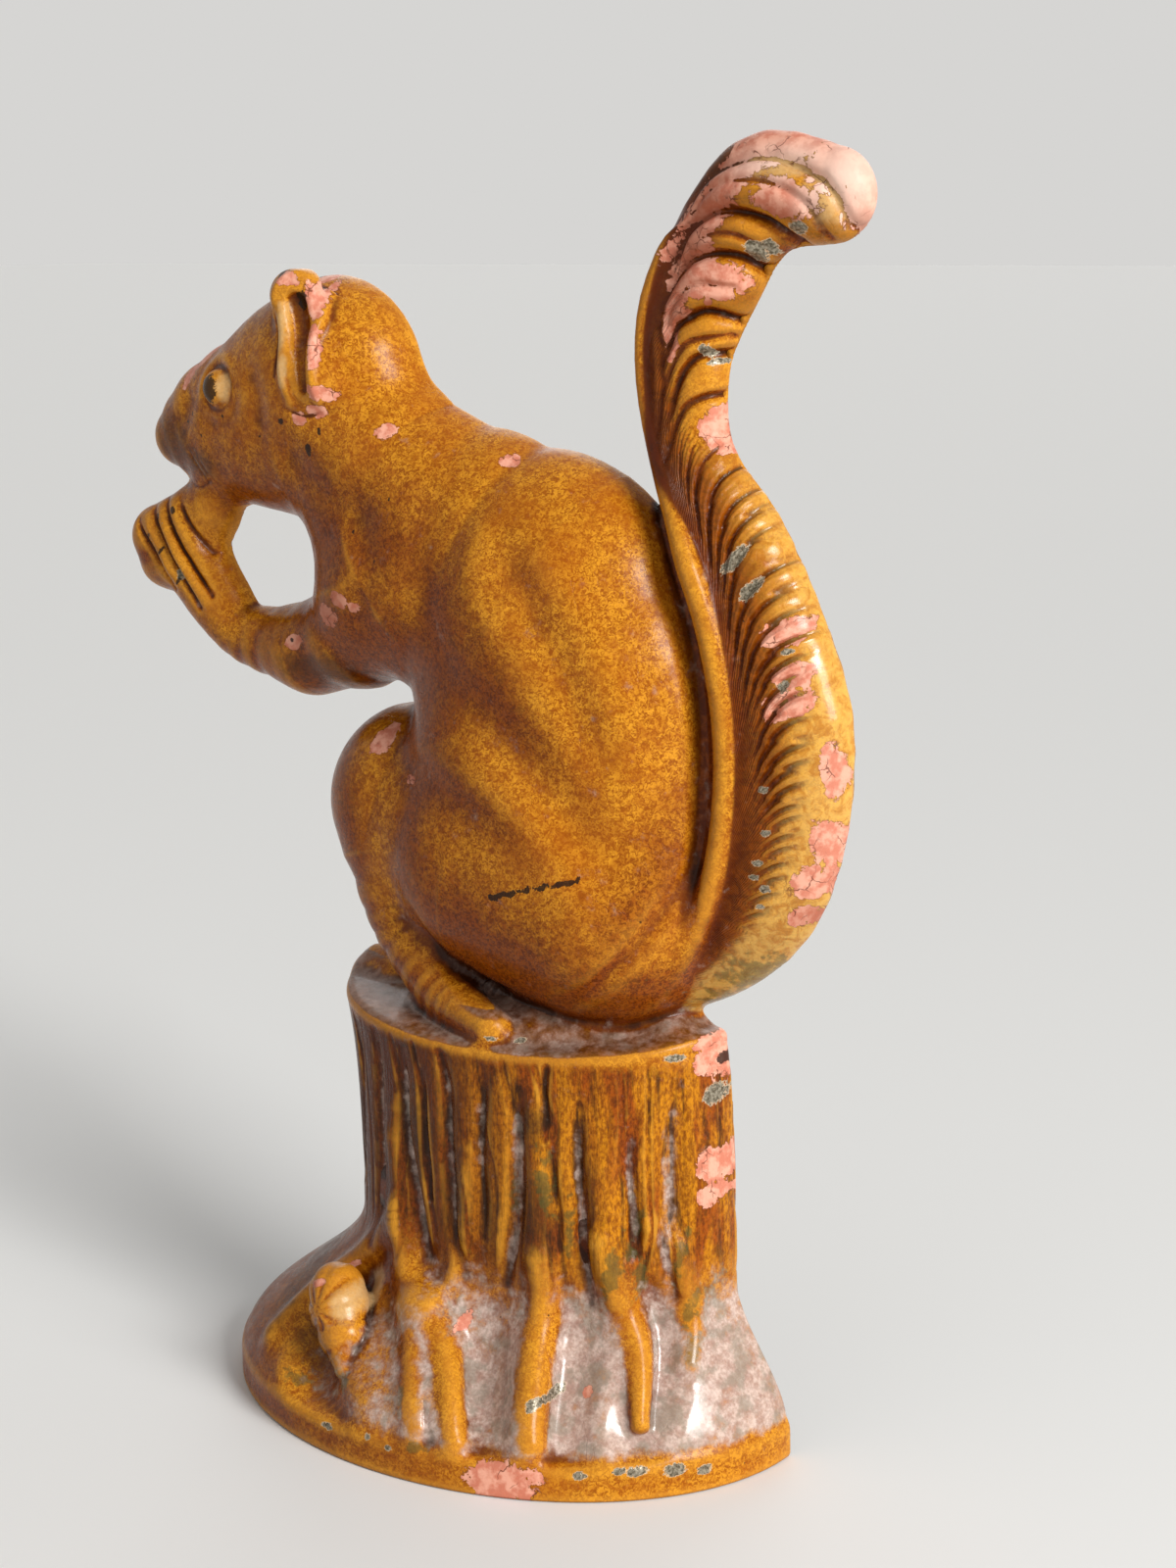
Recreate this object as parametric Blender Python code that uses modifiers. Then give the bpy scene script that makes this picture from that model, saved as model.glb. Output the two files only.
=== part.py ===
"""Cast iron doorstop: a squirrel eating on a tree stump, with rubber door bumpers.

The iron is one casting. Its front is modelled relief that faces -Y, the figure looks towards
-X, and the back is open and flat, with a hollow inside a wall of even thickness. Three rubber
bumpers are pressed into lugs in the hollow and stand proud of the back, to meet the door.
The origin is in the middle of the underside, +Z is up.
Sizes are in millimetres; they become metres where a mesh is written.
"""
import math

import bmesh
import bpy
import numpy as np
from mathutils import Matrix, Vector

MM = 0.001

# Driving dimensions of the base and the stump
BASE_HALF_WIDTH = 73.5
BASE_DEPTH = 57.0
BASE_RIM = 7.5
STUMP_HEIGHT = 95.0
STUMP_HALF_WIDTH = 51.2
STUMP_DEPTH = 33.0
STUMP_LEAN = 8.9
STUMP_WAIST = 0.8
TOP_SET_BACK = 0.3
TOP_RISE = 0.16
TOP_RISE_LENGTH = 24.0
ROOT_FLARE_HEIGHT = 44.0
FLARE_CURVE = 1.2
BACK_PLANE = 25.0

# Driving dimensions of the casting
WALL = 5.0
FLOOR = 5.5
EDGE_ROUND = 2.0
FORM_BLEND = 5.0

# Driving dimensions of the rubber bumpers and of the lugs that hold them
FIT_GAP = 0.3
BUMPER_HEAD_RADIUS = 9.0
BUMPER_PROUD = 4.0
BUMPER_STEM_RADIUS = 4.0
BUMPER_STEM_LENGTH = 12.0
LUG_WALL = 3.5
LUG_TAPER = 2.0
# Each bumper's place on the back: x, height
BUMPERS = {
    "upper_bumper": (10.0, 178.0),
    "left_bumper": (-20.0, 52.0),
    "right_bumper": (36.0, 52.0),
}

# Fineness of the modelled surface and of the finished casting, and lengths that are cut off
SKIN_VOXEL = 1.35
CORE_VOXEL = 2.2
CUT_OVER = 3.0
SKIRT = 8.0
WELD = 0.03
SETTLE_ROUNDS = (9, 5)
SKIN_TRIANGLES = 10300
CORE_TRIANGLES = 2300

# The squirrel as chains of swellings: x, height above the stump, radius and depth of relief
TORSO = [
    (-29, 124, 20.5, 19.5), (-5, 100, 34, 25), (12, 90, 40, 28.5), (18.5, 75, 41.5, 30.5),
    (20, 43, 41, 31),
]
THIGH = [(-25, 46, 23.5, 22), (2, 38, 30, 31), (30, 30, 29, 32)]
NECK = [(-47, 143, 23, 19), (-34, 112, 20, 18), (-30, 99, 20, 22)]
HEAD = [
    (-47, 143, 23, 19), (-58, 140.5, 21.8, 17.5), (-67, 135.5, 20.8, 15.5), (-84, 132.3, 15.4, 11),
    (-97, 128.6, 7.8, 6.8),
]
JAW = [(-56, 130, 20.6, 16), (-78, 126, 13, 10)]
UPPER_ARM = [(-24, 98, 22, 24), (-42, 85, 14, 17), (-57, 79.5, 10.5, 12.5)]
FOREARM = [(-57, 79.5, 10.5, 12.5), (-76.5, 81, 7.6, 8.5), (-85.5, 88.5, 8.8, 9), (-93, 98, 10, 9.5)]
PAW = [(-87, 111, 7.6, 8), (-94, 108.5, 8, 7.5), (-106, 103.5, 7.6, 7), (-104.5, 98, 7.4, 6.5)]
SEAT = [(-12, 2, 8, 19), (18, 0, 8.5, 27), (46, 1, 7, 13)]
FAR_FOOT = [(-38, 0, 9, 8.5), (-31, 3, 7.5, 9)]
TAIL = [
    (36, 17, 14, 10), (50, 28, 19, 11), (61, 40, 21, 12), (67, 56, 20.5, 13), (69, 75, 19, 13),
    (65, 95, 15.5, 12.5), (58.5, 111, 13.5, 11), (52, 123, 10.5, 10), (48.5, 133, 9.5, 8.5),
    (48, 145, 9.4, 8), (49, 155, 10.5, 8.5), (54, 168.5, 12.4, 9), (60, 178.5, 12.6, 9.6),
    (68, 184.3, 12.4, 9.6), (82.3, 183.6, 9.9, 8.3),
]
# The smooth rib along the back, where the tail lies against the body: x, height
SPINE = [
    (24, 1), (38, 8), (50, 19), (58.5, 33), (63, 49), (64.5, 66), (63, 82), (59, 98), (53, 112),
    (46, 124), (40.5, 136), (38.5, 150), (40, 163), (46, 175), (55, 184),
]
SPINE_RADIUS = 3.2
SPINE_STAND = 13.0
UPPER_SPINE_STAND = 5.0
EAR = [(-40, 143, 6.5, 7), (-45, 153, 7.2, 6), (-49, 162.7, 6.2, 5)]
EAR_STAND = 14.0
EYE = (-73.5, 141.5, 4.4)
EYE_STAND = 11.5
# The hollow of the ear: x, height above the stump, radius, distance before the back
EAR_HOLLOW = [(-46.5, 161, 3.4, 19.5), (-44.5, 155, 4, 20), (-44.5, 148, 3.6, 20.5),
              (-43.5, 141.5, 2.2, 20.5)]

# The near leg in front of the body: x, height above the stump, radius, distance before the back
LEG = [(-24, 34, 17, 5), (-20, 19, 12, 9), (-8, 8, 8, 17), (2, 4.5, 5.5, 23), (12, 3, 4.5, 27)]

# Tips of the tail's hair flutes, in order from its root: x, height above the stump
FLUTE_TIPS = [
    (64.5, 23.8), (67.9, 27.4), (71.0, 30.9), (73.7, 34.8), (76.0, 38.5), (77.9, 42.2),
    (79.3, 45.8), (80.5, 49.4), (81.1, 52.8), (82.0, 56.3), (82.5, 59.8), (83.2, 63.5),
    (84.0, 68.5), (84.0, 73.5), (83.7, 78.0), (82.7, 83.2), (81.5, 87.0), (82.2, 91.0),
    (83.1, 95.5), (80.3, 100.5), (78.0, 105.7), (77.7, 111.5), (71.8, 117.4), (69.7, 122.2),
    (67.5, 126.5), (64.6, 130.8), (61.5, 136.0),
]
# Flutes before the first tip and after the last: how many, their pitch and their reach
ROOT_FLUTES = (8, 3.0, 7.0)
PLUME_FLUTES = (11, 4.5, 14.0)
# How far a flute runs back along the rib, low and high on the tail, the stretch of the rib over
# which that grows, and how soon the flute bends out
FLUTE_SWEEP = (24.0, 42.0)
SWEEP_GROWS = (30.0, 110.0)
FLUTE_BEND = 4.8
FLUTE_DEPTH = 1.3
FLUTE_HALF_WIDTH = 0.9
# Flutes closer together than the first width are left out; from the second on they are whole
FLUTE_ROOM = (1.4, 2.6)
# They begin at these distances from the rib, and fade at these shares of the way to their tips
FLUTE_BEGINS = (2.5, 6.0)
FLUTE_FADES = (0.72, 1.04)
# The stretch of the rib over which the flutes give way to the locks of the plume
PLUME_BEGINS = (138.0, 152.0)
# How much of a flute is a sharp groove; the rest is the roundness of the locks between them
FLUTE_SHARPNESS = 0.6

# Grooves that part the locks of the plume: depth, half width, then x, height above the stump
PLUME_LINES = [
    (1.5, 1.3, [(44.4, 174.9), (53.6, 186.9), (61.9, 191), (71.5, 191.8), (81.1, 188), (88.6, 177)]),
    (2.3, 1.3, [(45, 167.5), (48.5, 174), (52, 178), (58, 180.5), (64.4, 180.2), (76, 173.6)]),
    (2.2, 1.3, [(43.3, 158), (44.4, 163), (49, 168.6), (53.5, 171.1), (60, 171.6), (70.2, 166)]),
    (2.0, 1.2, [(45.2, 149.6), (47.9, 156.3), (52, 158.8), (57, 159.8), (64, 157.2)]),
    (1.0, 1.0, [(45, 143), (48, 149.5), (52, 153.6), (60, 155)]),
    (1.4, 1.1, [(46.4, 136.5), (48.9, 144.8), (51.9, 149.1), (55.5, 150.9), (62, 151.2)]),
    (1.2, 1.0, [(46.6, 129), (49.5, 138.3), (54.5, 142.3), (61.5, 143.4)]),
]

# Furrows of the bark: depth, half width, then x, height
FURROWS = [
    (1.9, 1.6, [(21, 84), (22.2, 70), (22.4, 46)]),
    (1.6, 1.4, [(35.1, 82), (36.1, 61), (36.6, 45)]),
    (1.7, 1.5, [(45.2, 77), (44.6, 60), (42.4, 50)]),
    (1.9, 1.6, [(52.4, 86), (52.6, 68), (51, 48)]),
    (1.5, 1.5, [(1.4, 92), (3.2, 76), (3.8, 42)]),
    (1.6, 1.6, [(-12, 89), (-10.7, 69), (-7, 44)]),
    (1.5, 1.5, [(-21.8, 92), (-22, 67), (-25, 42)]),
    (1.2, 1.3, [(12.6, 88), (12, 66), (13.4, 46)]),
    (1.3, 1.5, [(-31, 90), (-31.5, 70), (-36, 44)]),
]

# Grooves between the fingers and of the mouth: depth, half width, x, height above the stump
FINGER_LINES = [
    (1.7, 0.9, [(-98.5, 111), (-92, 103), (-84.3, 93.8)]),
    (1.7, 0.9, [(-104.6, 109), (-96, 99.5), (-87.3, 90.2)]),
    (1.4, 0.9, [(-109, 106), (-102, 98), (-95, 91.3)]),
]
MOUTH_LINES = [(0.9, 0.8, [(-90.5, 117.5), (-84.5, 117), (-78, 119.3), (-68, 124)])]

# Broad valleys and, with a depth below zero, swells of the body: depth, half width, then x,
# height above the stump
MUSCLE_LINES = [
    (1.9, 7.5, [(-24, 71), (-8, 79), (8, 77), (22, 67), (34, 54), (43, 38)]),
    (-1.3, 6.5, [(-22, 60), (-6, 63.5), (10, 60), (27, 51), (41, 35)]),
    (1.0, 5.5, [(-2, 122), (-8, 110), (-6, 97), (0, 86)]),
    (-0.7, 5.0, [(11, 118), (8, 106), (12, 96), (20, 88)]),
    (0.9, 4.5, [(14, 112), (24, 98), (33, 84), (40, 66)]),
    (-0.7, 5.0, [(20, 114), (32, 100), (42, 84), (48, 64)]),
    (1.2, 5.0, [(-29, 118), (-24, 104), (-26, 92)]),
    (0.9, 4.5, [(-52, 128), (-44, 122), (-36, 118)]),
    (1.0, 3.2, [(-62, 147), (-58, 140), (-59, 131)]),
    (0.8, 3.0, [(-84, 140), (-88, 134), (-92, 131)]),
    (0.9, 1.8, [(28, 10), (40, 17), (50, 28), (56.5, 42), (58.8, 60), (57.5, 78), (53.5, 94),
                (47.5, 108)]),
]
# Each groove starts at this share of its depth, is whole one fifth of its length further on, and
# loses LINE_FADE of its depth over the last fifth
LINE_START = 0.35
LINE_FADE = 0.7
LINE_RUN = 0.2

# Roots on the flared foot of the stump and the bays between them: x, height, radius
ROOTS = [
    [(-14, 50, 1.6), (-12.5, 45, 2.8), (-10.5, 39.5, 3.8), (-7.1, 34.3, 4.3), (-2, 30.5, 4.2)],
    [(-2, 30.5, 4.2), (3.3, 28.5, 3.6), (10.8, 22.8, 3.2), (15.5, 17, 3), (18.9, 11, 2.4)],
    [(-2, 30.5, 3.8), (1.1, 24, 3), (5.5, 18, 2.6), (9, 12, 2.2)],
    [(26, 47, 1.4), (27, 42, 2.4), (27.8, 36, 3.2), (29, 29, 3.9), (32.5, 20, 4), (35.3, 12.5, 3.2)],
    [(39, 52, 1.4), (41, 46, 2.4), (42.8, 40.5, 3), (45.5, 35, 3.1), (48.7, 30, 3.1), (52, 23, 2.8),
     (54.6, 16, 2.2)],
    [(49.5, 56, 1.2), (51.5, 50, 2.2), (54, 40, 2.5), (57.1, 31, 2.2), (58.5, 26, 1.4)],
    [(-16, 46, 2), (-20.1, 41, 3.4), (-28, 33, 3.8), (-36.8, 25.2, 3.8), (-43.5, 16, 3.4)],
]
ROOT_SINK = 1.6
BAYS = [
    [(-26, 33, 6.5), (-27, 24, 9), (-24, 16, 9.5), (-17, 12, 8)],
    [(11, 43, 6.3), (16, 32, 9.3), (21.5, 22, 9.8), (25, 15, 8.5)],
    [(34, 41, 6.3), (38.5, 30, 9), (42.5, 19, 9.3), (44, 14, 8.5)],
    [(52, 38, 6.2), (55, 28, 7.4), (57, 18, 7.8)],
]
BAY_STAND = 6.3
# The acorn between the roots: x, height, radius, distance before the back
ACORN = [(-23.5, 28.5, 6.8, 40), (-20, 23, 6.2, 43), (-16.5, 17, 2.8, 47)]


def pieces_of(chain):
    return list(zip(chain, chain[1:]))


def smooth_step(value, low, high):
    t = np.clip((value - low) / (high - low), 0.0, 1.0)
    return t * t * (3.0 - 2.0 * t)


def soft_min(a, b, blend):
    """Union of two distance fields with a fillet of about the size of blend."""
    part = np.clip(blend - np.abs(a - b), 0.0, None) / blend
    return np.minimum(a, b) - part * part * blend * 0.25


def soft_max(a, b, blend):
    return -soft_min(-a, -b, blend)


def swelling(p, x, y, z, r, depth):
    """Distance, true near the skin, from points p to an ellipsoid of radius r and a depth."""
    dx = p[:, 0] - x
    dy = p[:, 1] - y
    dz = p[:, 2] - z
    near = np.sqrt((dx / r) ** 2 + (dy / depth) ** 2 + (dz / r) ** 2) + 1e-9
    slope = np.sqrt((dx / r ** 2) ** 2 + (dy / depth ** 2) ** 2 + (dz / r ** 2) ** 2) + 1e-9
    return near * (near - 1.0) / slope


def chain_field(p, chain, stand=0.0):
    """Distance to a chain of swellings whose centres lie the length stand before the back."""
    best = None
    for (ax, az, ar, ad), (bx, bz, br, bd) in pieces_of(chain):
        length2 = (bx - ax) ** 2 + (bz - az) ** 2
        t = ((p[:, 0] - ax) * (bx - ax) + (p[:, 2] - az) * (bz - az)) / length2
        t = np.clip(t, 0.0, 1.0)
        here = swelling(p, ax + t * (bx - ax), -stand, az + t * (bz - az),
                        ar + t * (br - ar), ad + t * (bd - ad))
        best = here if best is None else soft_min(best, here, 2.0)
    return best


def rib_chain():
    """The rib as a round chain; it comes closer to the back where the tail stands alone."""
    chain = []
    for x, z in SPINE:
        free = float(smooth_step(z, 105.0, 135.0))
        stand = SPINE_STAND + (UPPER_SPINE_STAND - SPINE_STAND) * free
        chain.append((x, z, SPINE_RADIUS * (1.0 - 0.3 * free), stand))
    return chain


def on_skin(chain, stand):
    """A round chain laid on the foot of the stump, its centres standing out by stand."""
    laid = []
    for x, z, r in chain:
        half, depth, middle = (float(v) for v in stump_section(np.array(float(z))))
        skin = depth * math.sqrt(max(0.0, 1.0 - ((x - middle) / half) ** 2))
        laid.append((x, z, r, skin + stand))
    return laid


def root_field(p, root):
    """Distance to a round chain, such as a root that runs over the skin of the stump."""
    best = None
    for (ax, az, ar, ay), (bx, bz, br, by) in pieces_of(root):
        a = np.array((ax, -ay, az))
        b = np.array((bx, -by, bz))
        t = np.clip((p - a) @ (b - a) / max(float((b - a) @ (b - a)), 1e-9), 0.0, 1.0)
        here = np.linalg.norm(p - a - t[:, None] * (b - a), axis=1) - (ar + t * (br - ar))
        best = here if best is None else soft_min(best, here, 2.0)
    return best


def stump_section(z):
    """Half width, depth and middle of the stump at height z: a waist above flared roots."""
    up = np.clip(z / STUMP_HEIGHT, 0.0, 1.0)
    flare = smooth_step(ROOT_FLARE_HEIGHT - z, 0.0, ROOT_FLARE_HEIGHT - BASE_RIM) ** FLARE_CURVE
    waist = STUMP_WAIST * np.sin(math.pi * up)
    half = STUMP_HALF_WIDTH - waist + (BASE_HALF_WIDTH - STUMP_HALF_WIDTH) * flare
    depth = STUMP_DEPTH - waist + (BASE_DEPTH - STUMP_DEPTH) * flare
    middle = STUMP_LEAN * (1.0 - flare) * (1.0 - TOP_SET_BACK * up ** 8)
    return half, depth, middle


def oval_field(p, half, depth, middle):
    dx = p[:, 0] - middle
    near = np.sqrt((dx / half) ** 2 + (p[:, 1] / depth) ** 2) + 1e-9
    slope = np.sqrt((dx / half ** 2) ** 2 + (p[:, 1] / depth ** 2) ** 2) + 1e-9
    return near * (near - 1.0) / slope


def stump_field(p):
    half, depth, middle = stump_section(p[:, 2])
    side = oval_field(p, half, depth, middle)
    rise = TOP_RISE * np.clip(p[:, 1] + STUMP_DEPTH, 0.0, TOP_RISE_LENGTH)
    return soft_max(side, p[:, 2] - STUMP_HEIGHT - rise + 0.25 * EDGE_ROUND, EDGE_ROUND)


def base_field(p):
    side = oval_field(p, BASE_HALF_WIDTH, BASE_DEPTH, 0.0)
    return soft_max(side, p[:, 2] - BASE_RIM, EDGE_ROUND)


def ground_field(p):
    """The stump with the bays between its roots, on its base."""
    ground = stump_field(p)
    for bay in BAYS:
        ground = soft_max(ground, -root_field(p, on_skin(bay, BAY_STAND)), 5.0)
    return soft_min(ground, base_field(p), 3.0)


def figure_points(p):
    """Points in the squirrel's own frame, which stands on the top of the stump."""
    return p - np.array((0.0, 0.0, STUMP_HEIGHT))


def hollow_forms_field(p):
    """The large forms that the core inside the casting follows."""
    q = figure_points(p)
    field = chain_field(q, TORSO)
    field = soft_min(field, chain_field(q, THIGH), FORM_BLEND)
    field = soft_min(field, chain_field(q, NECK), FORM_BLEND)
    field = soft_min(field, chain_field(q, HEAD[:3]), FORM_BLEND)
    field = soft_min(field, chain_field(q, SEAT), FORM_BLEND)
    field = soft_min(field, chain_field(q, TAIL[1:7]), FORM_BLEND)
    return soft_min(field, ground_field(p), FORM_BLEND)


def skin_field(p):
    """The whole front of the casting, before the fine carving, down to the end of its skirt."""
    q = figure_points(p)
    field = chain_field(q, TORSO)
    for chain, blend in ((THIGH, 5.0), (NECK, 6.0), (HEAD, 5.0), (JAW, 4.0), (UPPER_ARM, 4.0),
                         (FOREARM, 3.0), (PAW, 2.5)):
        field = soft_min(field, chain_field(q, chain), blend)
    field = soft_min(field, root_field(q, LEG), 4.0)
    field = soft_min(field, chain_field(q, EAR, EAR_STAND), 2.0)
    field = soft_max(field, -root_field(q, EAR_HOLLOW), 1.5)
    eye = swelling(q, EYE[0], -EYE_STAND, EYE[1], EYE[2], EYE[2])
    field = soft_min(field, eye, 1.0)
    field = soft_min(field, chain_field(q, TAIL), 2.5)
    field = soft_min(field, root_field(q, rib_chain()), 2.5)
    ground = ground_field(p)
    for root in ROOTS:
        ground = soft_min(ground, root_field(p, on_skin(root, -ROOT_SINK)), 4.0)
    ground = soft_min(ground, root_field(p, ACORN), 1.2)
    ground = soft_min(ground, chain_field(q, FAR_FOOT), 3.0)
    ground = soft_min(ground, chain_field(q, SEAT), 4.0)
    return soft_max(soft_min(field, ground, 3.0), -SKIRT - p[:, 2], EDGE_ROUND)


def new_object(name, mesh, group):
    made = bpy.data.objects.new(name, mesh)
    group.objects.link(made)
    return made


def hull_body(bm, places):
    """A closed body: the hull round unit balls that the given matrices place and stretch."""
    part = bmesh.new()
    for place in places:
        bmesh.ops.create_icosphere(part, subdivisions=3, radius=1.0, matrix=place)
    bmesh.ops.delete(part, geom=part.edges[:], context="EDGES_FACES")
    hull = bmesh.ops.convex_hull(part, input=part.verts[:], use_existing_faces=False)
    spare = [v for v in hull["geom_interior"] if isinstance(v, bmesh.types.BMVert)]
    bmesh.ops.delete(part, geom=spare, context="VERTS")
    mesh = bpy.data.meshes.new("hull")
    part.to_mesh(mesh)
    part.free()
    bm.from_mesh(mesh)
    bpy.data.meshes.remove(mesh)


def swelling_bodies(bm, chain, stand):
    """Closed bodies for a chain: the hull round each two neighbouring swellings."""
    for pair in pieces_of(chain):
        hull_body(bm, [
            Matrix.Translation((x, -stand, z + STUMP_HEIGHT)) @ Matrix.Diagonal((r, depth, r, 1.0))
            for x, z, r, depth in pair
        ])


def round_bodies(bm, chain, lift):
    """Closed bodies for a round chain, whose points lie at their own distance before the back."""
    for pair in pieces_of(chain):
        hull_body(bm, [
            Matrix.Translation((x, -y, z + lift)) @ Matrix.Diagonal((r, r, r, 1.0))
            for x, z, r, y in pair
        ])


def oval_ring(bm, half, depth, middle, z):
    place = Matrix.Translation((middle, 0.0, z)) @ Matrix.Diagonal((half, depth, 1.0, 1.0))
    ring = bmesh.ops.create_circle(bm, segments=72, radius=1.0, matrix=place)
    return ring["verts"]


def lofted_body(bm, rings):
    """A closed body through oval rings, given from the bottom up."""
    made = [oval_ring(bm, *ring) for ring in rings]
    for low, high in pieces_of(made):
        edges = [e for e in bm.edges if all(v in low for v in e.verts)]
        edges += [e for e in bm.edges if all(v in high for v in e.verts)]
        bmesh.ops.bridge_loops(bm, edges=edges)
    for ring in (made[0], made[-1]):
        bmesh.ops.contextual_create(bm, geom=ring)


def stump_rings():
    rings = []
    for z in np.linspace(-SKIRT, STUMP_HEIGHT, 12):
        half, depth, middle = (float(v) for v in stump_section(np.array(z)))
        rings.append((half, depth, middle, float(z)))
    return rings


def evaluated_mesh(holder):
    graph = bpy.context.evaluated_depsgraph_get()
    return bpy.data.meshes.new_from_object(holder.evaluated_get(graph))


def coordinates(mesh):
    flat = np.empty(len(mesh.vertices) * 3)
    mesh.vertices.foreach_get("co", flat)
    return flat.reshape(-1, 3)


def relaxed(points, edges):
    """Each point moved halfway to the mean of its neighbours."""
    count = len(points)
    total = np.zeros((count, 3))
    for axis in range(3):
        total[:, axis] = (np.bincount(edges[:, 0], points[edges[:, 1], axis], count)
                          + np.bincount(edges[:, 1], points[edges[:, 0], axis], count))
    number = np.bincount(edges.ravel(), minlength=count)[:, None]
    return 0.5 * points + 0.5 * total / np.maximum(number, 1)


def gradient(field, points, here):
    """Slope of a distance field at points where its value is already known."""
    step = 0.02
    slopes = []
    for axis in range(3):
        ahead = points.copy()
        ahead[:, axis] += step
        slopes.append((field(ahead) - here) / step)
    return np.stack(slopes, axis=1)


def settle(mesh, field, rounds):
    """Move a closed mesh onto the zero of a distance field."""
    points = coordinates(mesh)
    edges = np.empty(len(mesh.edges) * 2, dtype=np.int32)
    mesh.edges.foreach_get("vertices", edges)
    edges = edges.reshape(-1, 2)
    for turn in range(rounds):
        if turn < rounds - 2:
            points = relaxed(points, edges)
        here = field(points)
        slope = gradient(field, points, here)
        size = np.maximum((slope * slope).sum(axis=1), 0.05)
        move = -(here / size)[:, None] * slope
        reach = np.linalg.norm(move, axis=1)[:, None]
        points = points + move * np.minimum(1.0, 2.0 / np.maximum(reach, 1e-9))
    mesh.vertices.foreach_set("co", points.ravel())
    mesh.update()


def keep_largest_shell(mesh):
    """Drop the small closed pockets that overlapping bodies leave between them."""
    bm = bmesh.new()
    bm.from_mesh(mesh)
    unseen = set(bm.verts)
    shells = []
    while unseen:
        front = [unseen.pop()]
        shell = list(front)
        while front:
            near = {e.other_vert(v) for v in front for e in v.link_edges} & unseen
            unseen -= near
            front = list(near)
            shell += front
        shells.append(shell)
    shells.sort(key=len)
    spare = [v for shell in shells[:-1] for v in shell]
    bmesh.ops.delete(bm, geom=spare, context="VERTS")
    bm.to_mesh(mesh)
    bm.free()


def skinned(name, bm, voxel, field, group, carve=None):
    """One skin round overlapping bodies, drawn and settled on the field twice, then carved."""
    mesh = bpy.data.meshes.new(name)
    bm.to_mesh(mesh)
    bm.free()
    holder = new_object(name, mesh, group)
    for rounds in SETTLE_ROUNDS:
        remesh = holder.modifiers.new("skin", "REMESH")
        remesh.mode = "VOXEL"
        remesh.voxel_size = voxel
        holder.data = evaluated_mesh(holder)
        holder.modifiers.clear()
        keep_largest_shell(holder.data)
        settle(holder.data, field, rounds)
    if carve:
        carve(holder.data)
    return holder


def along_line(x, z, line):
    """Distance along an open line of points, and signed distance to its right, for points."""
    best = np.full(len(x), 1e9)
    along = np.zeros(len(x))
    aside = np.zeros(len(x))
    start = 0.0
    for (ax, az), (bx, bz) in pieces_of(line):
        length = math.hypot(bx - ax, bz - az)
        ux = (bx - ax) / length
        uz = (bz - az) / length
        t = np.clip((x - ax) * ux + (z - az) * uz, 0.0, length)
        off = np.hypot(x - ax - t * ux, z - az - t * uz)
        side = np.sign((x - ax) * uz - (z - az) * ux)
        nearer = off < best
        best = np.where(nearer, off, best)
        along = np.where(nearer, start + t, along)
        aside = np.where(nearer, off * side, aside)
        start += length
    return along, aside


def rounded_line(line, parts=4):
    """A line with its corners rounded off by a smooth curve through its points."""
    rows = np.array(line, dtype=float)
    rows = np.vstack([2.0 * rows[0] - rows[1], rows, 2.0 * rows[-1] - rows[-2]])
    curve = []
    for a, b, c, d in zip(rows, rows[1:], rows[2:], rows[3:]):
        for t in np.linspace(0.0, 1.0, parts, endpoint=False):
            curve.append(b + 0.5 * ((c - a) * t + (2.0 * a - 5.0 * b + 4.0 * c - d) * t ** 2
                                    + (3.0 * b - a - 3.0 * c + d) * t ** 3))
    curve.append(rows[-2])
    return [tuple(point) for point in curve]


def grooves(x, z, lines):
    """Depth of a set of grooves, which fade out beside their lines and towards their ends."""
    cut = np.zeros(len(x))
    for depth, half_width, line in lines:
        curve = rounded_line(line)
        along, aside = along_line(x, z, curve)
        part = along / sum(math.hypot(b[0] - a[0], b[1] - a[1]) for a, b in pieces_of(curve))
        share = LINE_START + (1.0 - LINE_START) * smooth_step(part, 0.0, LINE_RUN)
        share *= 1.0 - LINE_FADE * smooth_step(part, 1.0 - LINE_RUN, 1.0)
        cut += depth * share * np.exp(-(aside / half_width) ** 2)
    return cut


def flute_place(x, z):
    """Where the flute through a point leaves the rib, the point's distance from the rib, and its
    place along it."""
    along, aside = along_line(x, z, SPINE)
    low, high = FLUTE_SWEEP
    sweep = low + (high - low) * smooth_step(along, *SWEEP_GROWS)
    bent = 1.0 - np.exp(-np.clip(aside, 0.0, None) / FLUTE_BEND)
    return along - sweep * bent, aside, along


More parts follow.
